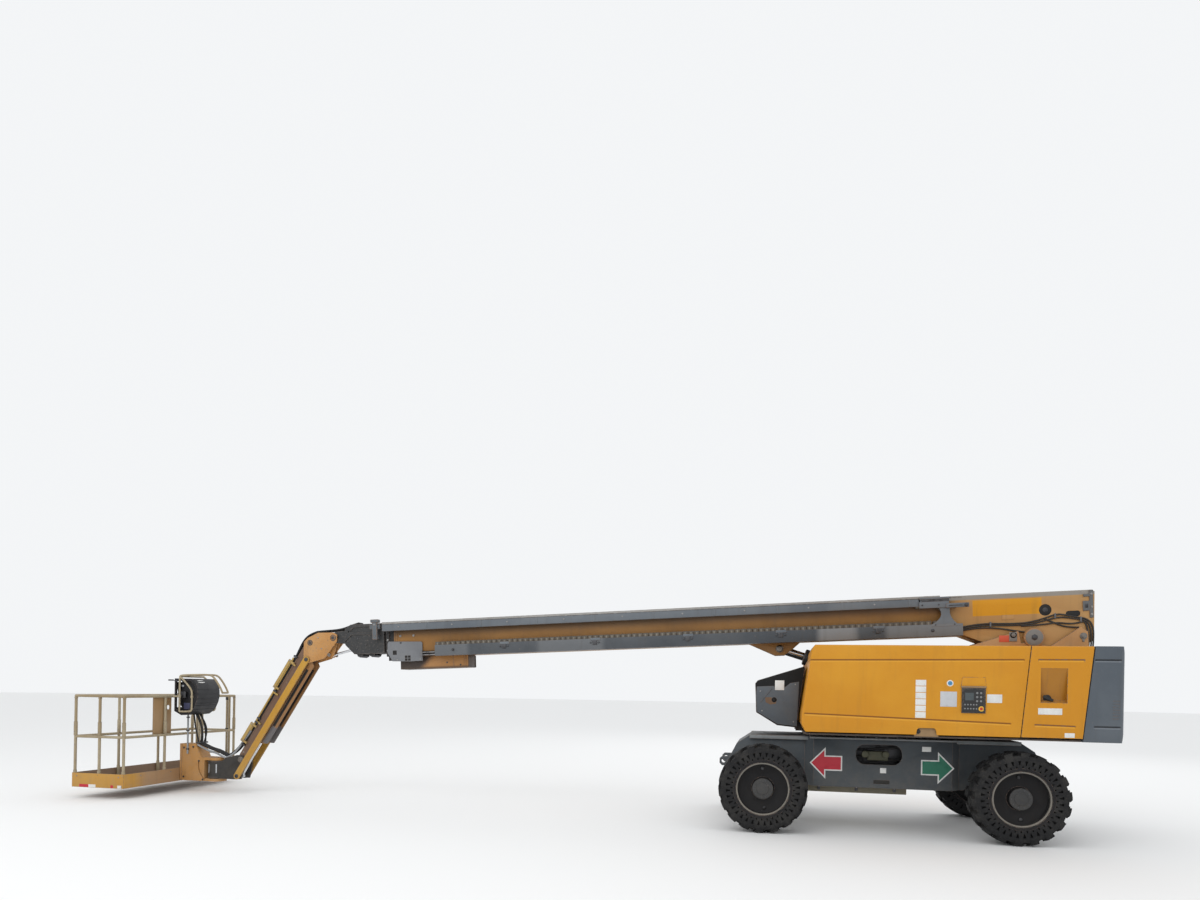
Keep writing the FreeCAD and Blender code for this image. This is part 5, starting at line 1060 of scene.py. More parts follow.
boom = tilted(pivot, -Vector(joints["mid_boom_extend"]["axis"]))
web_face = 0.190
boom_mouth = -8.350
boom_root = -0.786
boom_floor = 0.067
boom_roof = 0.552
shade_and_soot = (0.060, 0.040, 0.026)
# A tan tail, a brighter repainted panel, painted shade and soot darkening the web under the rail, and a grey
# band near the roof.
boom_patches = (
    patch(boom, (0.46, 0.255, 0.090), 1, (0, -0.96, -0.90)),
    patch(boom, (0.66, 0.295, 0.004), 1, (0, -0.666, 0.116, 0.006), (2, 0.290, 0.485, 0.006)),
    patch(boom, shade_and_soot, 0.75, (2, 0.30, 0.43), (0, -0.70, -1.1)),
    patch(boom, (0.27, 0.26, 0.24), 0.9, (2, 0.494, 0.502)),
)
boom_paint = pair_of("boom_orange_brown", (0.235, 0.108, 0.022), (0.33, 0.155, 0.035), dirt=0.55, chips=0.3,
                     patches=boom_patches)
dress("base_boom", boom_paint, 0.004)
pad_spots = (boom_mouth + 0.10, boom_mouth + 0.30)
seams = []
for side in sides:
    face = side * (web_face + 0.001)
    for up in (boom_floor + 0.016, boom_roof - 0.016):
        seams.append(bar("weld", (boom_mouth + 0.05, face - 0.003, up - 0.004),
                         (boom_root, face + 0.003, up + 0.004), boom_paint, 0.0025))
    seams.append(bar("stiffener", (-3.52, face - 0.004, 0.238), (-2.55, face + 0.004, 0.246), boom_paint))
    seams.append(bar("frame_plate", (-0.335, face - 0.003, 0.230), (-0.199, face + 0.002, 0.290), boom_paint,
                     0.002))
    seams += side_bolts(boom, [(along, up) for along in pad_spots for up in (0.36, 0.47)], face, 0.016,
                        bolt_steel)
    for ring in (boom_mouth + 0.004, boom_mouth + 0.034):
        seams.append(bar("mouth_band", (ring, face - 0.003, boom_floor + 0.01),
                         (ring + 0.018, face + 0.004, 0.54), boom_paint))
for across in (-0.12, 0.0, 0.12):
    for along in pad_spots:
        seams += bolt(boom @ Vector((along, across, boom_roof)), boom.col[2].xyz, 0.016, bolt_steel)
as_one("base_boom_seams", seams, "base_boom")

# The lightening hole and the access window are near-black plates on the web, painted shade for the openings.
plugs = []
for side in sides:
    for radius, start, end, finish in ((0.072, 0.181, 0.186, hole_black), (0.030, 0.184, 0.189, dark_steel)):
        plugs.append(between("hole_plug", (0.154, side * start, 0.332), (0.154, side * end, 0.332), radius,
                             finish, 28, 0.001, boom))
    plugs.append(bar("window_plug", (0.365, side * 0.181, 0.230), (0.555, side * 0.185, 0.318), hole_black,
                     0.001))
as_one("boom_hole_plugs", plugs, "base_boom")

tail_grey = pair_of("tail_grey", (0.105, 0.112, 0.118), (0.17, 0.17, 0.17), dirt=0.6, chips=0.5)
tail = [bar("end_plate", (0.640, -0.202, 0.215), (0.684, 0.202, 0.550), tail_grey, 0.006)]
for side in sides:
    face = side * 0.202
    tail += side_bolts(boom, ((0.662, 0.255), (0.662, 0.345), (0.662, 0.500)), face, 0.014, bolt_steel)
    tail += [
        bar("clevis", (0.566, face, 0.300), (0.645, face * 0.94, 0.420), tail_grey, 0.010),
        bar("clevis_slot", (0.585, face * 1.01, 0.335), (0.625, face * 0.94, 0.385), dark_steel, 0.004),
        bar("roof_plate", (0.575, face, 0.470), (0.645, face * 0.95, 0.500), tail_grey),
    ]
as_one("boom_tail_plate", tail, "base_boom")


# ---------------------------------------------------------------- chain trough and energy chain
# A folded steel trough bolted along the near side holds the chain that feeds the hoses to the moving sections.
# Clips pin the trough every metre or so, and the chain is a double row of dusty plastic links.
rubbed_lengths = ((-2.52, -2.05, 0.85), (-1.70, -0.70, 0.55), (-6.2, -5.3, 0.35), (-7.75, -7.2, 0.35))
trough_patches = [patch(boom, (0.23, 0.235, 0.24), share, (0, low, high, 0.05))
                  for low, high, share in rubbed_lengths]
rail_grey = pair_of("rail_blue_grey", (0.105, 0.122, 0.142), (0.160, 0.175, 0.190), dirt=0.55, chips=0.35)
trough_paint = pair_of("trough_blue_grey", (0.050, 0.058, 0.068), (0.085, 0.092, 0.100), dirt=0.6, chips=0.4,
                       patches=trough_patches)
dress("chain_trough", trough_paint, 0.002)
trough_face = -0.300
clips = []
for along in (-6.68, -5.41, -4.17, -2.985, -1.795):
    clips += [
        bar("tongue", (along - 0.060, trough_face - 0.006, 0.178), (along + 0.075, trough_face, 0.214),
            rail_grey),
        bar("bracket", (along - 0.030, trough_face - 0.010, 0.120), (along + 0.030, trough_face, 0.180),
            dark_steel),
    ]
    clips += side_bolts(boom, ((along - 0.055, 0.150), (along + 0.055, 0.150)), trough_face - 0.006, 0.012,
                        dark_steel)
clips += side_bolts(boom, ((-7.42, 0.130), (-1.155, 0.130)), trough_face, 0.020, dark_steel)
as_one("trough_clips", clips, "base_boom")

link_pitch = 0.075
link_height = 0.094
chain_lane = -0.245
bend_reach = 0.127
chain_start = -7.650
bend_along, bend_up = -1.120, 0.330
link_dark = [rubber("link_plastic", (0.110, 0.092, 0.072), 0.8, 0.6)]
link_pale = [rubber("link_dust", (0.205, 0.185, 0.155), 0.5, 0.75)]


def chain_link(place):
    """One link of the chain about a place: two side plates with a pale outer rib, and two cross bars."""
    half = link_height / 2
    made = []
    for across, rib in ((-0.041, -0.0445), (0.041, 0.0445)):
        made.append(bar("plate", (-0.034, across - 0.003, -half), (0.034, across + 0.003, half), link_dark,
                        0.002, place, 1))
        made.append(bar("rib", (-0.012, rib - 0.001, -0.030), (0.010, rib + 0.001, 0.034), link_pale, 0.001,
                        place, 1))
    for up in (0.004 - half, half - 0.004):
        made.append(bar("cross_bar", (-0.010, -0.040, up - 0.003), (0.010, 0.040, up + 0.003), link_pale, 0.0,
                        place))
    return joined("link", made)


def repeated(piece, count, step):
    """A row of copies of a piece, each a step on from the last."""
    take_up(piece)
    row = piece.modifiers.new("row", "ARRAY")
    row.count = count
    row.use_relative_offset = False
    row.use_constant_offset = True
    row.constant_offset_displace = step
    bpy.ops.object.modifier_apply(modifier=row.name)
    return piece


chain = []
for start, count, up in ((chain_start, int((bend_along - chain_start) / link_pitch), bend_up - bend_reach),
                         (bend_along - 0.19, 2, bend_up + bend_reach)):
    first_link = chain_link(boom @ Matrix.Translation((start, chain_lane, up)))
    chain.append(repeated(first_link, count, boom.col[0].xyz * link_pitch))
bend_centre = boom @ Matrix.Translation((bend_along, chain_lane, bend_up))
for turn in range(6):
    swing = Matrix.Rotation(math.radians(8 + turn * 33), 4, "Y")
    chain.append(chain_link(bend_centre @ swing @ Matrix.Translation((0, 0, bend_reach))))
chain_piece = as_one("energy_chain_links", chain, "base_boom")
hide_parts("energy_chain")


guide_face = -0.298
bend_line = ((-1.100, 0.424), (-1.072, 0.395), (-1.056, 0.360), (-1.052, 0.328), (-1.060, 0.296),
             (-1.082, 0.262), (-1.115, 0.232), (-1.165, 0.205), (-1.165, 0.178), (-0.830, 0.178),
             (-0.868, 0.204), (-0.905, 0.240), (-0.934, 0.284), (-0.952, 0.340), (-0.950, 0.424))
bend_guide = [
    outlined("bend_guide", bend_line, 0.005, boom @ Matrix.Translation((0, guide_face, 0)), rail_grey),
    bar("guide_foot", (-1.165, guide_face - 0.003, 0.172), (-0.830, guide_face + 0.01, 0.184), rail_grey),
    *side_bolts(boom, ((-1.12, 0.196), (-0.90, 0.196)), guide_face, 0.010, dark_steel),
]
as_one("chain_bend_guide", bend_guide, "base_boom")


# ---------------------------------------------------------------- top rail and its guide
# A light channel bolted to the middle section carries the upper end of the chain and slides out with it.
# A guide of flat bars at the rear of the base boom holds it down.
rail_lip = pair_of("rail_pale_lip", (0.27, 0.265, 0.25), (0.36, 0.35, 0.33), dirt=0.6, chips=0.3)
rail_front, rail_rear = -8.480, -1.060
rail = [
    bar("channel", (rail_front, -0.292, 0.430), (rail_rear - 0.23, -0.284, 0.532), rail_grey),
    bar("channel_end", (rail_rear - 0.25, -0.292, 0.482), (rail_rear, -0.284, 0.532), rail_grey),
    bar("lip", (rail_front, -0.298, 0.526), (rail_rear, -0.205, 0.556), rail_lip, 0.005),
    bar("foot", (rail_front, -0.286, 0.430), (rail_rear - 0.24, -0.240, 0.436), rail_grey, 0.002),
    bar("inner_web", (rail_front, -0.214, 0.470), (rail_rear, -0.207, 0.530), rail_grey, 0.002),
]
for step in range(9):
    along = rail_front + 0.25 + step * 0.80
    rail += side_bolts(boom, ((along, 0.482),), -0.292, 0.010, bolt_steel)
    rail.append(bar("joint_strap", (along + 0.40, -0.2945, 0.434), (along + 0.43, -0.292, 0.524), rail_grey,
                    0.001))
rail.append(bar("front_stay", (-8.475, -0.284, 0.452), (-8.425, -0.182, 0.520), rail_grey, 0.004))
rail_piece = as_one("top_rail", rail, "mid_boom")
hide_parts("hose_tube")

guide = [
    bar("cover_bar", (-1.305, -0.310, 0.405), (-0.958, -0.303, 0.484), rail_grey),
    bar("upper_bar", (-1.276, -0.307, 0.480), (-0.956, -0.303, 0.516), dark_steel),
    bar("brow_bar", (-1.305, -0.312, 0.514), (-0.940, -0.303, 0.538), rail_grey, 0.004),
    bar("lower_bar", (-0.998, -0.318, 0.400), (-0.730, -0.303, 0.456), rail_grey, 0.006),
    bar("slot", (-0.965, -0.3195, 0.420), (-0.810, -0.3175, 0.434), dark_steel, 0.001),
    bar("rear_arm", (-0.915, -0.306, 0.405), (-0.865, -0.188, 0.450), rail_grey, 0.004),
]
knob = boom @ Vector((-0.765, -0.318, 0.428))
guide += disc_stack("stop", knob, -1, ((0.024, 0.010), (0.014, 0.020)), dark_steel)
guide += side_bolts(boom, ((-1.27, 0.444), (-1.08, 0.444)), -0.310, 0.010, dark_steel)
as_one("rail_guide", guide, "base_boom")


# ---------------------------------------------------------------- hoses along the boom tail
# Three hoses leave the trough, cross the web in clamps and hang in a loop down to the turntable.
# They are black rubber, kept thin and flat so that they pass between the boom and the cheeks.
side_hose = 0.0095
side_lane = -0.2018
old_rubber = [rubber("old_rubber", (0.040, 0.036, 0.033), 0.8, 0.7)]
tail_lines = (
    ((0.920, 2.487), (1.108, 2.530), (1.292, 2.543), (1.495, 2.539), (1.696, 2.548), (1.855, 2.588),
     (1.992, 2.648), (2.080, 2.664), (2.209, 2.628), (2.330, 2.610)),
    ((0.920, 2.465), (1.108, 2.508), (1.292, 2.521), (1.495, 2.517), (1.696, 2.527), (1.855, 2.562),
     (2.000, 2.610), (2.100, 2.628), (2.209, 2.606), (2.330, 2.590)),
    ((0.930, 2.445), (1.110, 2.488), (1.300, 2.492), (1.480, 2.472), (1.590, 2.450), (1.680, 2.440)),
    ((1.640, 2.512), (1.780, 2.520), (1.915, 2.535), (2.053, 2.560), (2.152, 2.540), (2.250, 2.545),
     (2.330, 2.570)),
    ((1.900, 2.600), (1.994, 2.560), (2.080, 2.515), (2.180, 2.498), (2.280, 2.500)),
)
side_runs = []
for line in tail_lines:
    side_runs.append(hose("hose", [machine_spot(along, side_lane, up) for along, up in line], side_hose,
                          old_rubber))
for along, up in ((1.292, 2.531), (2.015, 2.636), (2.300, 2.595)):
    side_runs.append(block("clamp", (0.020, 0.022, 0.062), machine_spot(along, -0.2025, up), rail_grey,
                           0.004))
as_one("boom_side_hoses", side_runs, "base_boom")

loops = []
for number, line in enumerate((
        ((2.330, 2.610), (2.392, 2.590), (2.436, 2.520), (2.443, 2.430), (2.442, 2.330), (2.436, 2.210),
         (2.400, 2.090)),
        ((2.330, 2.590), (2.372, 2.572), (2.404, 2.510), (2.414, 2.430), (2.420, 2.330), (2.410, 2.210),
         (2.370, 2.090)),
        ((2.330, 2.570), (2.352, 2.556), (2.372, 2.500), (2.378, 2.430), (2.396, 2.330), (2.382, 2.210),
         (2.340, 2.090)))):
    ends = ((2.300 - 0.02 * number, 1.980), (2.250 - 0.02 * number, 1.900))
    points = [machine_spot(along, side_lane - 0.003 * number * (up < 2.5), up)
              for along, up in (*line, *ends)]
    loops.append(hose("hose", points, side_hose, old_rubber))
loop_piece = as_one("boom_tail_loop", loops, None)
machine_spot(2.385, -0.2, 2.6)
machine_spot(2.36, -0.2, 2.05)
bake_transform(loop_piece)


# ---------------------------------------------------------------- sliding sections
# Two slimmer boxes slide inside the base boom on nylon pads; their yellow paint is clean where it is covered.
# The middle one ends in a welded collar with adjusting bolts for its pads.
mouth_patch = patch(boom, (0.022, 0.022, 0.022), 1, (0, -8.300, -8.320))
collar_paint = pair_of("collared_yellow", (0.50, 0.225, 0.010), (0.56, 0.27, 0.03), dirt=0.35,
                       patches=(mouth_patch,))
dress("mid_boom", collar_paint, 0.004)
dress("fly_boom", collar_paint, 0.004)
collar = []
for side in sides:
    face = side * 0.180
    for up in (0.16, 0.31, 0.46):
        collar += side_bolts(boom, ((-8.450, up),), face, 0.015, bolt_steel)
for across in (-0.1, 0.1):
    collar += bolt(boom @ Vector((-8.450, across, 0.535)), boom.col[2].xyz, 0.015, bolt_steel)
for foot, top in ((0.480, 0.500), (0.125, 0.142)):
    collar.append(bar("wear_pad", (-8.474, -0.150, foot), (-8.466, 0.150, top), handle_black, 0.002))
as_one("collar_bolts", collar, "mid_boom")


# ---------------------------------------------------------------- boom head
# A blackened casting on the end of the fly section, which narrows to the neck pin that holds the jib.
# Rollers hang under it, a grey clamp grips the hoses beside the rail, and grease and dust cake all of it.
head_black = pair_of("head_black", (0.026, 0.027, 0.028), (0.060, 0.060, 0.060), dirt=0.75, chips=0.7)
clamp_grey = pair_of("clamp_grey", (0.095, 0.110, 0.125), (0.15, 0.165, 0.18), dirt=0.5, chips=0.4)
dress("boom_head", head_black, 0.006)
head = []
for side in sides:
    face = side * 0.150
    skin = ((-9.075, 0.470), (-8.990, 0.440), (-8.560, 0.425), (-8.560, 0.395), (-9.020, 0.408),
            (-9.120, 0.330), (-9.130, 0.300), (-9.150, 0.330))
    place = boom @ Matrix.Translation((0, face - 0.010 if side < 0 else face, 0))
    head.append(outlined("edge_plate", skin, 0.010, place, head_black))
    roof_line = ((-9.090, 0.455), (-8.990, 0.535), (-8.600, 0.535), (-8.600, 0.515), (-8.985, 0.515),
                 (-9.075, 0.440))
    head.append(outlined("brow_plate", roof_line, 0.010, place, head_black))
    head_spots = ((-8.93, 0.350), (-8.70, 0.350), (-8.95, 0.200), (-8.62, 0.180), (-8.80, 0.250))
    head += side_bolts(boom, head_spots, face, 0.014, dark_steel)
    neck_end = boom @ Vector((-9.343, side * 0.085, 0.384))
    head += disc_stack("pin", neck_end, side, ((0.052, 0.0), (0.034, 0.012)), bush_metal)
ear_line = ((-0.055, 0.150), (-0.030, 0.095), (0.030, 0.095), (0.055, 0.150))
for along in (-8.925, -8.735):
    for side in sides:
        place = boom @ Matrix.Translation((along, side * 0.105 - 0.006, 0))
        head.append(outlined("roller_ear", ear_line, 0.012, place, head_black))
    head.append(between("roller", (along, -0.098, 0.108), (along, 0.098, 0.108), 0.026, dark_steel, 20, 0.004,
                        boom))
for along in (-8.900, -8.770):
    head.append(bar("top_pad", (along - 0.040, -0.130, 0.536), (along + 0.040, 0.130, 0.560), rail_lip,
                    0.005))
as_one("boom_head_details", head, "fly_boom")

clamp = [
    bar("post", (-8.650, -0.262, 0.318), (-8.572, -0.222, 0.600), clamp_grey, 0.012),
    bar("cap", (-8.672, -0.270, 0.560), (-8.552, -0.190, 0.606), clamp_grey, 0.010),
    bar("root", (-8.640, -0.226, 0.330), (-8.580, -0.146, 0.400), clamp_grey, 0.008),
    bar("shoulder", (-8.700, -0.235, 0.470), (-8.540, -0.215, 0.540), clamp_grey, 0.006),
]
clamp += side_bolts(boom, ((-8.611, 0.370), (-8.611, 0.530)), -0.262, 0.014, bolt_steel)
as_one("hose_clamp_block", clamp, "fly_boom")


# ---------------------------------------------------------------- guide plate, front box and stay rods
# A grey plate at the boom's mouth guides the chain, with a square window and four small holes.
# Below it hangs a tan box for the telescope valve, darker along its foot and over its platform end; two bright
# rods brace the trough.
plate_grey = pair_of("plate_grey", (0.145, 0.150, 0.162), (0.20, 0.205, 0.215), dirt=0.5, chips=0.4)
stay_metal = [bare_metal("stay_metal", (0.26, 0.25, 0.25), 0.38, 0.8)]
plate_face = -0.205
plate_line = ((-8.447, 0.126), (-8.443, 0.260), (-8.425, 0.288), (-7.930, 0.268), (-7.914, 0.252),
              (-7.914, -0.002), (-8.090, -0.006), (-8.373, 0.004))
plate = outlined("guide_plate", plate_line, 0.008, boom @ Matrix.Translation((0, plate_face, 0)), plate_grey,
                 0.0)
holes = []
for along, up in ((-8.182, 0.006), (-8.135, 0.006), (-8.182, 0.046), (-8.135, 0.046)):
    holes.append(bar("cut", (along, -0.23, up), (along + 0.038, -0.18, up + 0.032), plate_grey, 0.0))
holes.append(bar("cut", (-8.364, -0.23, 0.096), (-8.306, -0.18, 0.156), plate_grey, 0.0))
cut_away(plate, holes)
round_off(plate, plate_grey, 0.002, 2, 40)
plate_bits = [
    plate,
    # A near-black plate behind the guide plate shows through its window and holes as painted shade.
    bar("back_plate", (-8.430, plate_face + 0.006, 0.012), (-7.930, plate_face + 0.012, 0.250), hole_black),
    *side_bolts(boom, ((-8.240, 0.262),), plate_face, 0.012, dark_steel),
    *side_bolts(boom, ((-8.30, 0.020), (-7.95, 0.020)), plate_face, 0.009, bolt_steel),
]
for up in (0.113, 0.078):
    plate_bits.append(between("stay_rod", (-7.925, -0.232, up), (-7.700, -0.232, up), 0.009, stay_metal, 16,
                              0.001, boom))
plate_bits.append(bar("rod_foot", (-7.930, -0.246, 0.060), (-7.905, -0.200, 0.134), plate_grey, 0.004))
plate_bits.append(bar("rod_shadow", (-7.915, -0.206, 0.066), (-7.690, -0.200, 0.134), hole_black, 0.002))
guide_plate = as_one("guide_plate", plate_bits, "base_boom")
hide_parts("boom_guide_plate")


def slanted_dark(place):
    """Near-black over the platform end of the front box, its edge at a slant."""
    return rise(measured(place, boom, 0) + measured(place, boom, 2) * -1.0, -7.78, -7.93) * 0.95


box_dark = (0.030, 0.025, 0.024)
box_shift = -0.125
box_patches = (
    (slanted_dark, box_dark),
    patch(boom, shade_and_soot, 0.8, (2, -0.070, -0.105)),
    patch(boom, box_dark, 0.9, (0, -7.264, -7.258)),
)
box_paint = pair_of("front_box_tan", (0.36, 0.165, 0.045), (0.45, 0.24, 0.10), dirt=0.9, chips=0.4,
                    patches=box_patches)
front_box = dress("boom_front_box", box_paint, 0.004)
front_box.data.transform(Matrix.Translation(boom.col[0].xyz * box_shift))
box_bits = []
for side in sides:
    face = side * 0.130
    for along in (-7.318, -7.267):
        box_bits.append(bar("end_flange", (along, face - 0.008, -0.110), (along + 0.020, face + 0.008, 0.060),
                            box_paint))
    box_bits.append(bar("rib", (-7.490, face - 0.005, -0.110), (-7.478, face + 0.005, 0.060), box_paint))
    box_bits += side_bolts(boom, ((-7.58, -0.036), (-7.38, -0.075), (-7.98, 0.01)), face, 0.012, dark_steel)
as_one("front_box_details", box_bits, "base_boom")


# ---------------------------------------------------------------- lift cylinder
# One large double-acting cylinder between the turntable and a lug under the boom.
# The barrel is sprayed black, with a gland, two steel pipes and a check valve; the rod is hard chrome.
cylinder_black = pair_of("cylinder_black", (0.012, 0.012, 0.013), (0.035, 0.035, 0.035), dirt=0.5, chips=0.35)
chrome = [bare_metal("hard_chrome", (0.62, 0.63, 0.65), 0.10, 0.35, 90.0)]
dress("lift_cylinder", cylinder_black, 0.004)
dress("lift_rod", chrome, 0.003)
lift_base = Vector(joints["lift_cylinder_swing"]["pos_m"])
lift_pin = boom @ Vector((-3.0, 0.0, -0.015))
lift = tilted(lift_base, lift_base - lift_pin)
gland = -1.745
lift_bits = [
    between("gland", (gland + 0.004, 0, 0), (gland + 0.085, 0, 0), 0.104, cylinder_black, 36, 0.006, lift),
    between("foot_band", (-0.19, 0, 0), (-0.13, 0, 0), 0.100, cylinder_black, 36, base=lift),
]
for across, up in around(8, 0.078):
    lift_bits += bolt(lift @ Vector((gland + 0.006, across, up)), -lift.col[0].xyz, 0.010, bolt_steel)
for across in (-0.035, 0.035):
    lift_bits.append(between("pipe", (gland + 0.10, across, 0.108), (-0.26, across, 0.108), 0.009,
                             cylinder_black, 12, base=lift))
for along in (-1.45, -0.85, -0.35):
    lift_bits.append(bar("pipe_strap", (along, -0.055, 0.088), (along + 0.030, 0.055, 0.120), dark_steel,
                         0.004, lift))
lift_bits.append(bar("check_valve", (-0.290, -0.060, 0.080), (-0.180, 0.060, 0.150), dark_steel, 0.006, lift))
as_one("lift_cylinder_details", lift_bits, "lift_cylinder")
lift_pins = pin_ends(lift_pin, 0.090, ((0.052, 0.012), (0.036, 0.020)), bush_metal)
as_one("boom_lug_pin", lift_pins, "base_boom")
base_pins = pin_ends(lift_base, 0.091, ((0.052, 0.010), (0.036, 0.018)), bush_metal)
as_one("lift_foot_pin", base_pins, "turntable")


# ---------------------------------------------------------------- jib bracket and its levelling cylinder
# Two tan plates hang from the boom's neck pin and carry the jib; a slim cylinder keeps them upright.
# Their paint is rubbed to brown along the edges, and the pins sit in bare collars.
bracket_paint = pair_of("bracket_tan", (0.47, 0.215, 0.055), (0.52, 0.30, 0.12), dirt=0.6, chips=0.7)
dress("jib_bracket", bracket_paint, 0.005)
dress("level_cylinder", cylinder_black, 0.003)
dress("level_rod", chrome, 0.002)
neck_pin = Vector(joints["bracket_level"]["pos_m"])
jib_pin = Vector(joints["jib_lift"]["pos_m"])
link_pin = Vector(joints["jib_link_swing"]["pos_m"])
bracket_face = 0.110
bracket = Matrix.Translation(neck_pin)
bracket_bits = pin_ends(bracket @ Vector((-0.060, 0, -0.250)), bracket_face, ((0.026, 0.003), (0.016, 0.004)),
                        bush_metal)
for centre, size in ((neck_pin, 0.046), (jib_pin, 0.042)):
    bracket_bits += pin_ends(centre, bracket_face, ((size, 0.004), (size * 0.6, 0.009)), dark_steel)
for side in sides:
    bracket_bits += side_bolts(bracket, ((-0.18, -0.16), (-0.24, 0.0)), side * bracket_face, 0.010,
                               bolt_steel)
as_one("jib_bracket_pins", bracket_bits, "jib_bracket")

neck_line = ((-2.960, 2.548), (-3.060, 2.522), (-3.170, 2.470), (-3.340, 2.440), (-3.500, 2.434),
             (-3.620, 2.420))
crown_line = ((-3.620, 2.420), (-3.720, 2.390), (-3.805, 2.335), (-3.868, 2.240), (-3.920, 2.135),
              (-3.972, 2.030))
neck_lanes = (-0.058, -0.029, 0.0, 0.029, 0.058)
for name, line, bodies, start, end in (
        ("neck_hoses", neck_line, ("fly_boom", "jib_bracket"), (-3.10, 0, 2.51), (-3.56, 0, 2.44)),
        ("crown_hoses", crown_line, ("jib_bracket", "jib_beam"), (-3.66, 0, 2.43), (-3.93, 0, 2.10))):
    runs = [hose("hose", [(along, lane, up) for along, up in line], 0.014, hose_rubber)
            for lane in neck_lanes]
    piece = as_one(name, runs, None)
    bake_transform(piece)


# ---------------------------------------------------------------- jib
# A brown-orange box beam with a shallow cylinder slot in near-black painted shade, flanked by two bright
# yellow levelling links.
# Hoses run down its back behind a yellow guard, held by clamps.
jib_foot = Vector(joints["jib_knuckle_level"]["pos_m"])
jib = tilted(jib_pin, jib_pin - jib_foot)
slot_low, slot_high = -0.190, -0.148
slot_start, slot_end = -1.360, -0.360
# An orange lower end, a grey plate, painted shade darkening the beam's side, and a near-black slot of painted
# shade.
jib_patches = (
    patch(jib, (0.47, 0.170, 0.008), 1, (0, -1.50, -1.85), (2, -0.14, -0.17)),
    patch(jib, (0.120, 0.110, 0.115), 1, (0, -1.66, -1.36, 0.02), (2, -0.14, -0.15)),
    patch(jib, (0.115, 0.070, 0.055), 0.75, (2, -0.140, 0.069, 0.01)),
    patch(jib, (0.014, 0.012, 0.011), 1, (2, slot_low, slot_high, 0.006), (0, slot_start, slot_end, 0.006)),
)
jib_paint = pair_of("jib_brown", (0.270, 0.125, 0.040), (0.33, 0.17, 0.06), dirt=0.6, chips=0.5,
                    patches=jib_patches)
link_paint = pair_of("link_yellow", (0.47, 0.235, 0.018), (0.53, 0.30, 0.04), dirt=0.5, chips=0.5)
guard_paint = pair_of("guard_yellow", (0.42, 0.27, 0.070), (0.50, 0.36, 0.14), dirt=0.6, chips=0.6)
slots = []
for side in sides:
    slots.append(bar("cut", (slot_start, side * 0.080, slot_low), (slot_end, side * 0.11, slot_high),
                     jib_paint, 0.0, jib))
dress("jib_beam", jib_paint, 0.004, slots)
dress("jib_links", link_paint, 0.004)
dress("jib_hose_guard", guard_paint, 0.002)
dress("jib_cylinder", cylinder_black, 0.003)
dress("jib_rod", chrome, 0.002)

link_face = 0.138
link_foot = jib_foot + link_pin - jib_pin
for name, centre, body in (("upper_link_pins", link_pin, "jib_bracket"),
                           ("lower_link_pins", link_foot, "jib_knuckle")):
    as_one(name, pin_ends(centre, link_face, ((0.030, 0.005), (0.016, 0.009)), dark_steel), body)
covers = []
for low, high, top in ((-0.870, -0.380, 0.150), (-1.830, -1.500, 0.160)):
    covers.append(bar("cover", (low, -0.118, 0.108), (high, -0.112, top), guard_paint, 0.002, jib))
    covers.append(bar("cover_top", (low, -0.118, top - 0.005), (high, -0.080, top), guard_paint, 0.002, jib))
    for along in (low + 0.02, high - 0.02):
        covers.append(bar("foot", (along - 0.015, -0.116, 0.050), (along + 0.015, -0.086, top - 0.006),
                          guard_paint, 0.003, jib))
        covers += side_bolts(jib, ((along, 0.130),), -0.118, 0.010, bolt_steel)
for along in (-0.30, -0.905, -1.390, -1.460, -1.860):
    covers.append(bar("clamp", (along - 0.014, -0.116, 0.060), (along + 0.014, 0.075, 0.118), dark_steel,
                      0.006, jib))
as_one("jib_guard_covers", covers, "jib_beam")
back_hoses = []
for number, (lane, level) in enumerate(((-0.066, 0.086), (-0.034, 0.088), (0.0, 0.086), (0.034, 0.088),
                                        (0.066, 0.086), (-0.052, 0.110), (-0.016, 0.112), (0.020, 0.110))):
    sway = 0.003 * math.sin(2.1 * number)
    points = [jib @ Vector((along, lane + sway * shift, level + 0.002 * shift))
              for along, shift in ((-0.300, 0), (-0.62, 1), (-0.95, -1), (-1.30, 1), (-1.62, 0), (-1.88, 1))]
    back_hoses.append(hose("hose", points, 0.0155, hose_rubber))
as_one("jib_back_hoses", back_hoses, "jib_beam")
beam_bits = []
for side in sides:
    beam_bits += side_bolts(jib, ((-0.10, 0.030), (-1.96, 0.030)), side * 0.085, 0.011, bolt_steel)
    beam_bits.append(bar("weld", (-1.85, side * 0.086 - 0.003, 0.050), (-0.25, side * 0.086 + 0.003, 0.058),
                         jib_paint, 0.002, jib))
as_one("jib_beam_bolts", beam_bits, "jib_beam")


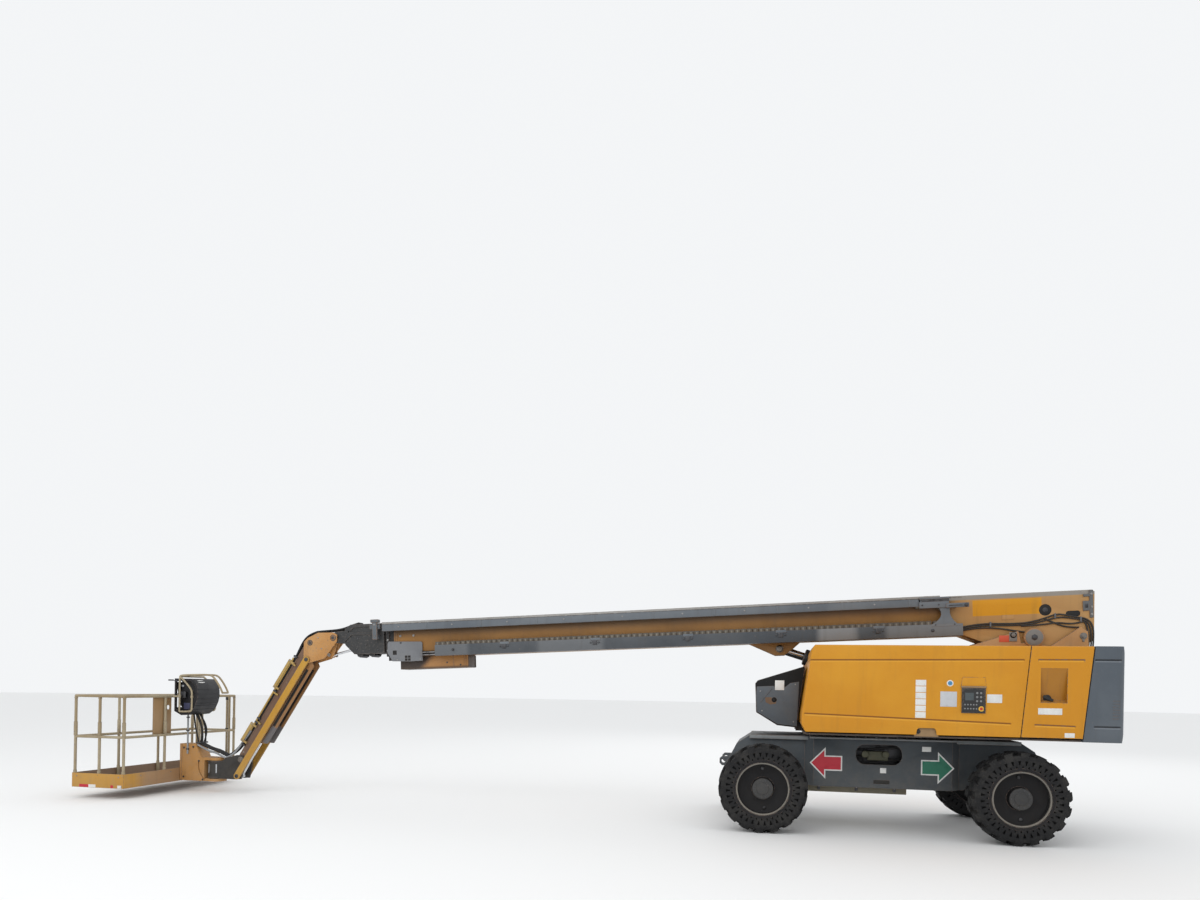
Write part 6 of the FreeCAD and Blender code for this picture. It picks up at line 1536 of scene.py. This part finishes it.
# ---------------------------------------------------------------- knuckle and rotator
# The jib ends in a black knuckle that carries the rotator, a round worm-gear housing turned by a small motor.
# Hoses cross it in a slack bend, one of them in a pale sleeve.
knuckle_black = pair_of("knuckle_black", (0.010, 0.010, 0.011), (0.024, 0.023, 0.022), dirt=0.30, chips=0.35)
dress("jib_knuckle", knuckle_black, 0.005)
swivel = Vector(joints["platform_swivel"]["pos_m"])
basket = Matrix.Translation(swivel)
rotator_bits = []
for up in (-0.292, -0.060):
    rotator_bits.append(between("flange", (0, 0, up), (0, 0, up + 0.018), 0.137, knuckle_black, 40, 0.004,
                                basket))
    bolt_level = up + 0.018 if up > -0.1 else up
    for along, across in around(12, 0.120):
        rotator_bits += bolt(basket @ Vector((along, across, bolt_level)), (0, 0, 1), 0.008, bolt_steel)
for angle in (-118, -62):
    turn = math.radians(angle)
    at = basket @ Vector((0.131 * math.cos(turn), 0.131 * math.sin(turn), -0.150))
    strip = Matrix.Translation(at) @ Matrix.Rotation(turn, 4, "Z")
    rotator_bits.append(block("label", (0.002, 0.016, 0.130), strip, [pale_film], 0.0005))
rotator_bits.append(between("worm", (0.060, -0.104, -0.170), (0.060, 0.104, -0.170), 0.040, knuckle_black, 28,
                            0.006, basket))
rotator_bits += pin_ends(jib_foot, bracket_face, ((0.044, 0.004), (0.026, 0.009)), bush_metal)
as_one("rotator_details", rotator_bits, "jib_knuckle")

pale_hose = [rubber("pale_sleeve", (0.30, 0.31, 0.32), 0.5, 0.6)]
bend_line = ((-4.660, 0.975), (-4.752, 0.852), (-4.830, 0.748), (-4.905, 0.655), (-5.000, 0.578),
             (-5.085, 0.553))
cross_line = ((-5.085, 0.553), (-5.160, 0.582), (-5.240, 0.628), (-5.350, 0.640), (-5.470, 0.690),
              (-5.560, 0.735))
for name, line, bodies, start, end in (
        ("knuckle_hoses", bend_line, ("jib_beam", "jib_knuckle"), (-4.80, 0, 0.95), (-5.08, 0, 0.56)),
        ("rotator_hoses", cross_line, ("jib_knuckle", "platform"), (-5.15, 0, 0.58), (-5.46, 0, 0.68))):
    runs = []
    for lane, drop, finish in ((-0.092, -0.030, pale_hose), (-0.062, 0.0, hose_rubber),
                               (-0.036, 0.006, hose_rubber), (-0.010, 0.0, hose_rubber),
                               (0.016, 0.004, hose_rubber)):
        runs.append(hose("hose", [(along, lane, up + drop) for along, up in line], 0.0145, finish))
    piece = as_one(name, runs, None)
    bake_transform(piece)


# ---------------------------------------------------------------- platform support
# A welded orange bracket grips the rotator from above and below and is bolted under the basket.
# A curved seam parts its two cheeks, and the paint is chipped round the bolts.
def arc(middle, radius, start, end, steps):
    """Points along a round arc about an (along, up) middle, its angles in degrees from the first axis."""
    turns = [math.radians(start + (end - start) * step / steps) for step in range(steps + 1)]
    return [(middle[0] + radius * math.cos(turn), middle[1] + radius * math.sin(turn)) for turn in turns]


support_paint = pair_of("support_orange", (0.46, 0.215, 0.045), (0.50, 0.27, 0.10), dirt=0.6, chips=0.6)
seam_middle = (0.020, -0.100)
seam_line = arc(seam_middle, 0.276, 172, 236, 8) + arc(seam_middle, 0.258, 236, 172, 8)
cuts = [outlined("cut", seam_line, 0.030, basket @ Matrix.Translation((0, across, 0)), support_paint, 0.0)
        for across in (-0.122, 0.092)]
support_spots = ((-0.242, -0.045), (-0.170, -0.322), (-0.500, 0.150), (-0.500, -0.290), (-0.340, 0.165))
dress("platform_support", support_paint, 0.006, cuts, 3)
support_bits = []
for side in sides:
    face = side * 0.110
    support_bits += side_bolts(basket, support_spots, face, 0.015, dark_steel)
    support_bits.append(bar("edge_strap", (-0.562, face - 0.006, -0.335), (-0.532, face + 0.006, 0.200),
                            support_paint, 0.004, basket))
as_one("platform_support_bolts", support_bits, "platform")

riser = []
for number, (lane, bow) in enumerate(((-0.070, 0.00), (-0.030, 0.05), (0.010, 0.03), (0.050, 0.06),
                                      (0.085, 0.02))):
    points = [basket @ Vector(at) for at in ((-0.280, lane, 0.228), (-0.300 + bow, lane, 0.330),
              (-0.330 + 1.6 * bow, lane * 1.2, 0.450), (-0.350 + bow, lane * 1.1, 0.560),
              (-0.370, lane, 0.668))]
    riser.append(hose("hose", points, 0.012, hose_rubber))
riser.append(bar("gather", (-0.310, -0.095, 0.216), (-0.250, 0.110, 0.240), dark_steel, 0.006, basket))
as_one("console_hoses", riser, "platform")
conduit = [between("conduit", (-0.430, -0.120, 0.060), (-0.430, -0.120, 0.662), 0.013, pale_hose,
                   base=basket)]
for up in (0.120, 0.400, 0.600):
    conduit.append(bar("clip", (-0.450, -0.136, up), (-0.410, -0.104, up + 0.020), dark_steel, 0.003, basket))
as_one("console_conduit", conduit, "platform")


# ---------------------------------------------------------------- platform floor and toe boards
# A shallow steel tray with a pressed tread floor; the toe board is orange, faded to tan towards the machine.
# Red and white marks are stuck along the outer bottom edges.
toe_patches = (
    patch(basket, (0.36, 0.205, 0.095), 1, (0, -0.640, -0.560), (1, -1.05, -0.75)),
    patch(basket, (0.230, 0.135, 0.075), 1, (0, -1.4065, -0.5735, 0.0005), (1, -1.2165, 1.2165, 0.0005)),
    patch(basket, (0.085, 0.048, 0.030), 1, (2, -0.330, -0.306, 0.006), (0, -1.395, -0.585, 0.006),
          (1, -1.210, 1.210, 0.006)),
)
toe_paint = pair_of("toe_orange", (0.50, 0.235, 0.012), (0.54, 0.28, 0.03), dirt=0.6, chips=0.5,
                    patches=toe_patches)
dress("platform_floor", toe_paint, 0.0025)
floor_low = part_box("platform_floor")[0]
tread_steel = [enamel("tread_brown", (0.10, 0.058, 0.036), (0.14, 0.085, 0.055), dirt=0.8, chips=0.8)]
tread_top = swivel.z - 0.316
tread_pitch = 0.045
stud_place = Matrix.Translation((floor_low.x + 0.040, floor_low.y + 0.040, tread_top + 0.001))
studs = []
for shift, angle in (((0.0, 0.0), 45), ((tread_pitch / 2, tread_pitch / 2), -45)):
    place = Matrix.Translation((*shift, 0)) @ stud_place @ Matrix.Rotation(math.radians(angle), 4, "Z")
    stud = block("stud", (0.026, 0.007, 0.003), place, tread_steel, 0.0)
    studs.append(repeated(repeated(stud, 17, (tread_pitch, 0, 0)), 52, (0, tread_pitch, 0)))
as_one("platform_tread", studs, "platform")

toe_face = 1.220
marks = []
for side in sides:
    face = side * (toe_face + 0.001)
    for low, high, finish in ((-1.285, -1.135, red_film), (-1.135, -1.020, white_film),
                              (-0.775, -0.735, red_film), (-0.665, -0.600, white_film)):
        inner, outer = face - side * 0.002, face + side * 0.0006
        marks.append(bar("mark", (low, inner, -0.352), (high, outer, -0.312), [finish], 0.0, basket))
    marks += side_bolts(basket, ((-1.33, -0.20), (-0.65, -0.20), (-0.60, -0.33)), side * toe_face, 0.009,
                        bolt_steel)
for across in (-0.90, -0.30, 0.30, 0.90):
    marks += bolt(basket @ Vector((-0.570, across, -0.20)), (1, 0, 0), 0.009, bolt_steel)
as_one("platform_marks", marks, "platform")


# ---------------------------------------------------------------- platform rails and gate
# Round tube rails welded in one frame, with stub sleeves above the middle rail; the gate swings on two lugs.
# Their beige paint is worn brown where hands and boots rub it.
rail_beige = pair_of("rail_beige", (0.30, 0.225, 0.125), (0.44, 0.38, 0.26), dirt=0.5, chips=0.8)
dress("platform_rails", rail_beige, 0.0)
dress("platform_gate", rail_beige, 0.0)
rail_front_edge, rail_rear_edge, rail_side = -1.385, -0.595, 1.195
tube_round = 0.0225
posts = [(along, across * rail_side)
         for along in (rail_front_edge, rail_rear_edge) for across in (-1, -0.34, 0.34, 1)]
posts.append(((rail_front_edge + rail_rear_edge) / 2, -rail_side))
sleeves = []
for along, across in posts:
    for low, high, radius, bevel in ((0.366, 0.560, 0.0245, 0.003), (-0.316, -0.120, 0.0235, 0.003),
                                     (0.886, 0.906, tube_round, 0.002)):
        sleeves.append(between("sleeve", (along, across, low), (along, across, high), radius, rail_beige, 20,
                               bevel, basket))
    face = across + (tube_round if across > 0 else -tube_round)
    sleeves += side_bolts(basket, [(along, up) for up in (0.420, 0.520, -0.180)], face, 0.007, bolt_steel)
as_one("rail_sleeves", sleeves, "platform")
gate_hinge = Matrix.Translation(joints["gate_swing"]["pos_m"])
hinge_bits = []
for up in (-0.020, 0.500):
    hinge_bits.append(between("knuckle", (0, 0, up), (0, 0, up + 0.050), tube_round, dark_steel, 20, 0.003,
                              gate_hinge))
as_one("gate_hinge_knuckles", hinge_bits, "platform_gate")

panel_tan = pair_of("panel_tan", (0.32, 0.185, 0.075), (0.38, 0.24, 0.12), dirt=0.7, chips=0.4)
hole_line = arc((0.320, 0.772), 0.024, 0, 180, 10) + arc((0.320, 0.752), 0.024, 180, 360, 10)
across_turn = Matrix.Rotation(math.radians(-90), 4, "Z")
hole_cut = outlined("cut", hole_line, 0.060, basket @ Matrix.Translation((-0.650, 0, 0)) @ across_turn,
                    panel_tan, 0.0)
dress("platform_panel", panel_tan, 0.002, [hole_cut])


# ---------------------------------------------------------------- control console
# A black ribbed moulding hung outside the rear rail inside a bent tube guard; its sides are open above a tray.
# The operator's side has a sloping panel with two joysticks, toggles and a red stop knob.
console_black = pair_of("console_black", (0.008, 0.008, 0.011), (0.018, 0.018, 0.021), dirt=0.15, chips=0.12,
                        gloss=0.42)
console_line = ((-0.570, 0.704), (-0.450, 0.644), (-0.340, 0.660), (-0.285, 0.702), (-0.230, 0.764),
                (-0.192, 0.845), (-0.170, 0.934), (-0.174, 1.020), (-0.190, 1.100), (-0.228, 1.155),
                (-0.280, 1.194), (-0.570, 1.194))
inner_line = ((-0.548, 0.740), (-0.450, 0.690), (-0.360, 0.700), (-0.262, 0.790), (-0.208, 0.935),
              (-0.224, 1.085), (-0.295, 1.160), (-0.548, 1.160))
shell = outlined("console_shell", console_line, 0.500, basket @ Matrix.Translation((0, -0.250, 0)),
                 console_black, 0.0)
recesses = []
for across in (-0.300, 0.180):
    place = basket @ Matrix.Translation((0, across, 0))
    recesses.append(outlined("cut", inner_line, 0.120, place, console_black, 0.0))
recesses.append(bar("cut", (-0.600, -0.215, 0.760), (-0.500, 0.215, 1.165), console_black, 0.0, basket))
cut_away(shell, recesses)
round_off(shell, console_black, 0.008, 3, 40)
parts = [shell]
for along, up, rib in ((-0.178, 0.890, 0.006), (-0.201, 0.822, 0.006), (-0.216, 0.790, 0.005),
                       (-0.258, 0.731, 0.006), (-0.170, 0.965, 0.004), (-0.176, 1.035, 0.004)):
    parts.append(between("rib", (along, -0.238, up), (along, 0.238, up), rib, console_black, 16, base=basket))
console_piece = as_one("console_housing", parts, "platform")
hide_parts("control_console")

slope = Vector((0.094, 0.0, 0.095)).normalized()
brow = Matrix((Vector((0, 1, 0)), -slope, Vector((0, 1, 0)).cross(-slope))).transposed().to_4x4()
oval = [(0.085 * along, 0.030 * up) for along, up in around(24, 1.0)]
oval_place = basket @ Matrix.Translation(Vector((-0.2345, -0.110, 1.1475)) + slope * 0.008) @ brow
oval_plate = outlined("oval", oval, 0.002, oval_place, [white_film], 0.0005)
as_one("console_blank_patch", [oval_plate], "platform")

panel_tilt = basket @ Matrix.Translation((-0.530, 0, 0.960)) @ Matrix.Rotation(math.radians(-14), 4, "Y")
deck = [bar("deck", (-0.006, -0.210, -0.185), (0.006, 0.210, 0.185), panel_black, 0.003, panel_tilt)]
face_turn = panel_tilt @ Matrix.Rotation(math.radians(-90), 4, "Y")


def upright(name, across, up, foot, top, radius, finishes, vertices, bevel=0.002):
    """A round control standing on the sloping panel, at a place measured across and up it."""
    return between(name, (up, across, foot), (up, across, top), radius, finishes, vertices, bevel, face_turn)


for across in (-0.130, 0.130):
    for top, radius in ((0.012, 0.038), (0.020, 0.030), (0.028, 0.022)):
        deck.append(upright("boot", across, 0.020, 0.004, top, radius, handle_black, 28, 0.003))
    deck.append(upright("stick", across, 0.020, 0.020, 0.052, 0.008, handle_black, 16))
    deck.append(upright("grip", across, 0.020, 0.046, 0.072, 0.017, handle_black, 24, 0.008))
for column in range(6):
    across = -0.150 + column * 0.060
    deck.append(upright("nut", across, -0.110, 0.004, 0.010, 0.010, bolt_steel, 6, 0.001))
    deck.append(upright("toggle", across, -0.110, 0.008, 0.026, 0.004, button_grey, 12))
for column in range(4):
    deck.append(upright("lamp", -0.040 + column * 0.035, 0.130, 0.004, 0.011, 0.009, button_grey, 20, 0.003))
deck.append(bar("display", (-0.010, -0.050, 0.010), (-0.005, 0.050, 0.080), display_glass, 0.001, panel_tilt))
deck.append(upright("ring", -0.150, 0.120, 0.004, 0.008, 0.030, stop_yellow, 28))
deck.append(upright("knob", -0.150, 0.120, 0.008, 0.034, 0.019, stop_red, 28, 0.005))
as_one("console_controls", deck, "platform")

side_bits = []
socket_blue = [enamel("socket_blue", (0.030, 0.034, 0.085), (0.05, 0.055, 0.11), dirt=0.4, chips=0.2)]
for side in sides:
    face = side * 0.180
    out = face + side * 0.045
    low, high = min(face, out), max(face, out)
    side_bits.append(bar("junction_box", (-0.430, low, 0.730), (-0.320, high, 0.830), socket_blue, 0.008,
                         basket))
    side_bits.append(bar("terminal", (-0.500, low, 0.900), (-0.400, low + (high - low) * 0.6, 1.000),
                         dark_steel, 0.006, basket))
    side_bits += disc_stack("plug", basket @ Vector((-0.330, face, 0.980)), side,
                            ((0.028, 0.020), (0.018, 0.040)), handle_black)
    side_bits.append(bar("label", (-0.500, face, 1.070), (-0.464, face + side * label_skin, 1.098),
                         [pale_film], 0.0, basket))
as_one("console_side_fittings", side_bits, "platform")

guard_tubes = []
guard_round = 0.014
guard_lane = 0.264
guard_level = 0.925
brow_inner = -0.134
for side in sides:
    lane = side * guard_lane
    side_loop = ((-0.470, 0.700), (-0.300, 0.700), (-0.262, 0.722), (-0.260, 0.780), (-0.258, 0.985),
                 (-0.275, 1.040), (-0.410, 1.180), (-0.470, 1.225))
    brow_lane = lane if side < 0 else brow_inner
    brow_run = ((-0.470, 0.700), (-0.470, 0.900), (-0.470, 1.160), (-0.466, 1.226), (-0.440, 1.244),
                (-0.200, 1.252), (0.010, 1.256), (0.080, 1.240), (0.150, 1.168), (0.235, 1.040),
                (0.252, 0.990))
    if side > 0:
        brow_run = brow_run[3:]
    for tube_lane, line in ((lane, side_loop), (brow_lane, brow_run)):
        guard_tubes.append(hose("tube", [basket @ Vector((along, tube_lane, up)) for along, up in line],
                                guard_round, rail_beige[:1], 3))
    guard_tubes.append(between("arm", (-0.595, lane, guard_level), (-0.470, lane, guard_level), guard_round,
                               rail_beige, 20, 0.0, basket))
for along, up, end in ((-0.470, 1.225, guard_lane), (0.251, 0.992, brow_inner)):
    guard_tubes.append(between("cross_tube", (along, -guard_lane, up), (along, end, up), guard_round,
                               rail_beige, 20, 0.0, basket))
guard_piece = as_one("console_guard_tubes", guard_tubes, "platform")
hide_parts("console_guard")
tray = [bar("tray", (-0.665, -0.262, 1.158), (-0.520, -0.150, 1.166), dark_steel, 0.003, basket),
        bar("tray_lip", (-0.672, -0.262, 1.158), (-0.664, -0.150, 1.178), dark_steel, 0.003, basket),
        bar("tray_stay", (-0.560, -0.272, 1.150), (-0.470, -0.256, 1.160), dark_steel, 0.003, basket)]
as_one("console_tray", tray, "platform")
guard_bits = []
for side in sides:
    lane = side * guard_lane
    for along in (-0.470, -0.260):
        guard_bits.append(between("clamp", (along, lane, guard_level - 0.02),
                                  (along, lane, guard_level + 0.02), 0.019, rail_beige, 20, 0.003, basket))
    guard_bits.append(bar("side_stay", (-0.570, side * 0.246, 0.915), (-0.470, side * 0.262, 0.935),
                          rail_beige, 0.004, basket))
as_one("console_guard_clamps", guard_bits, "platform")
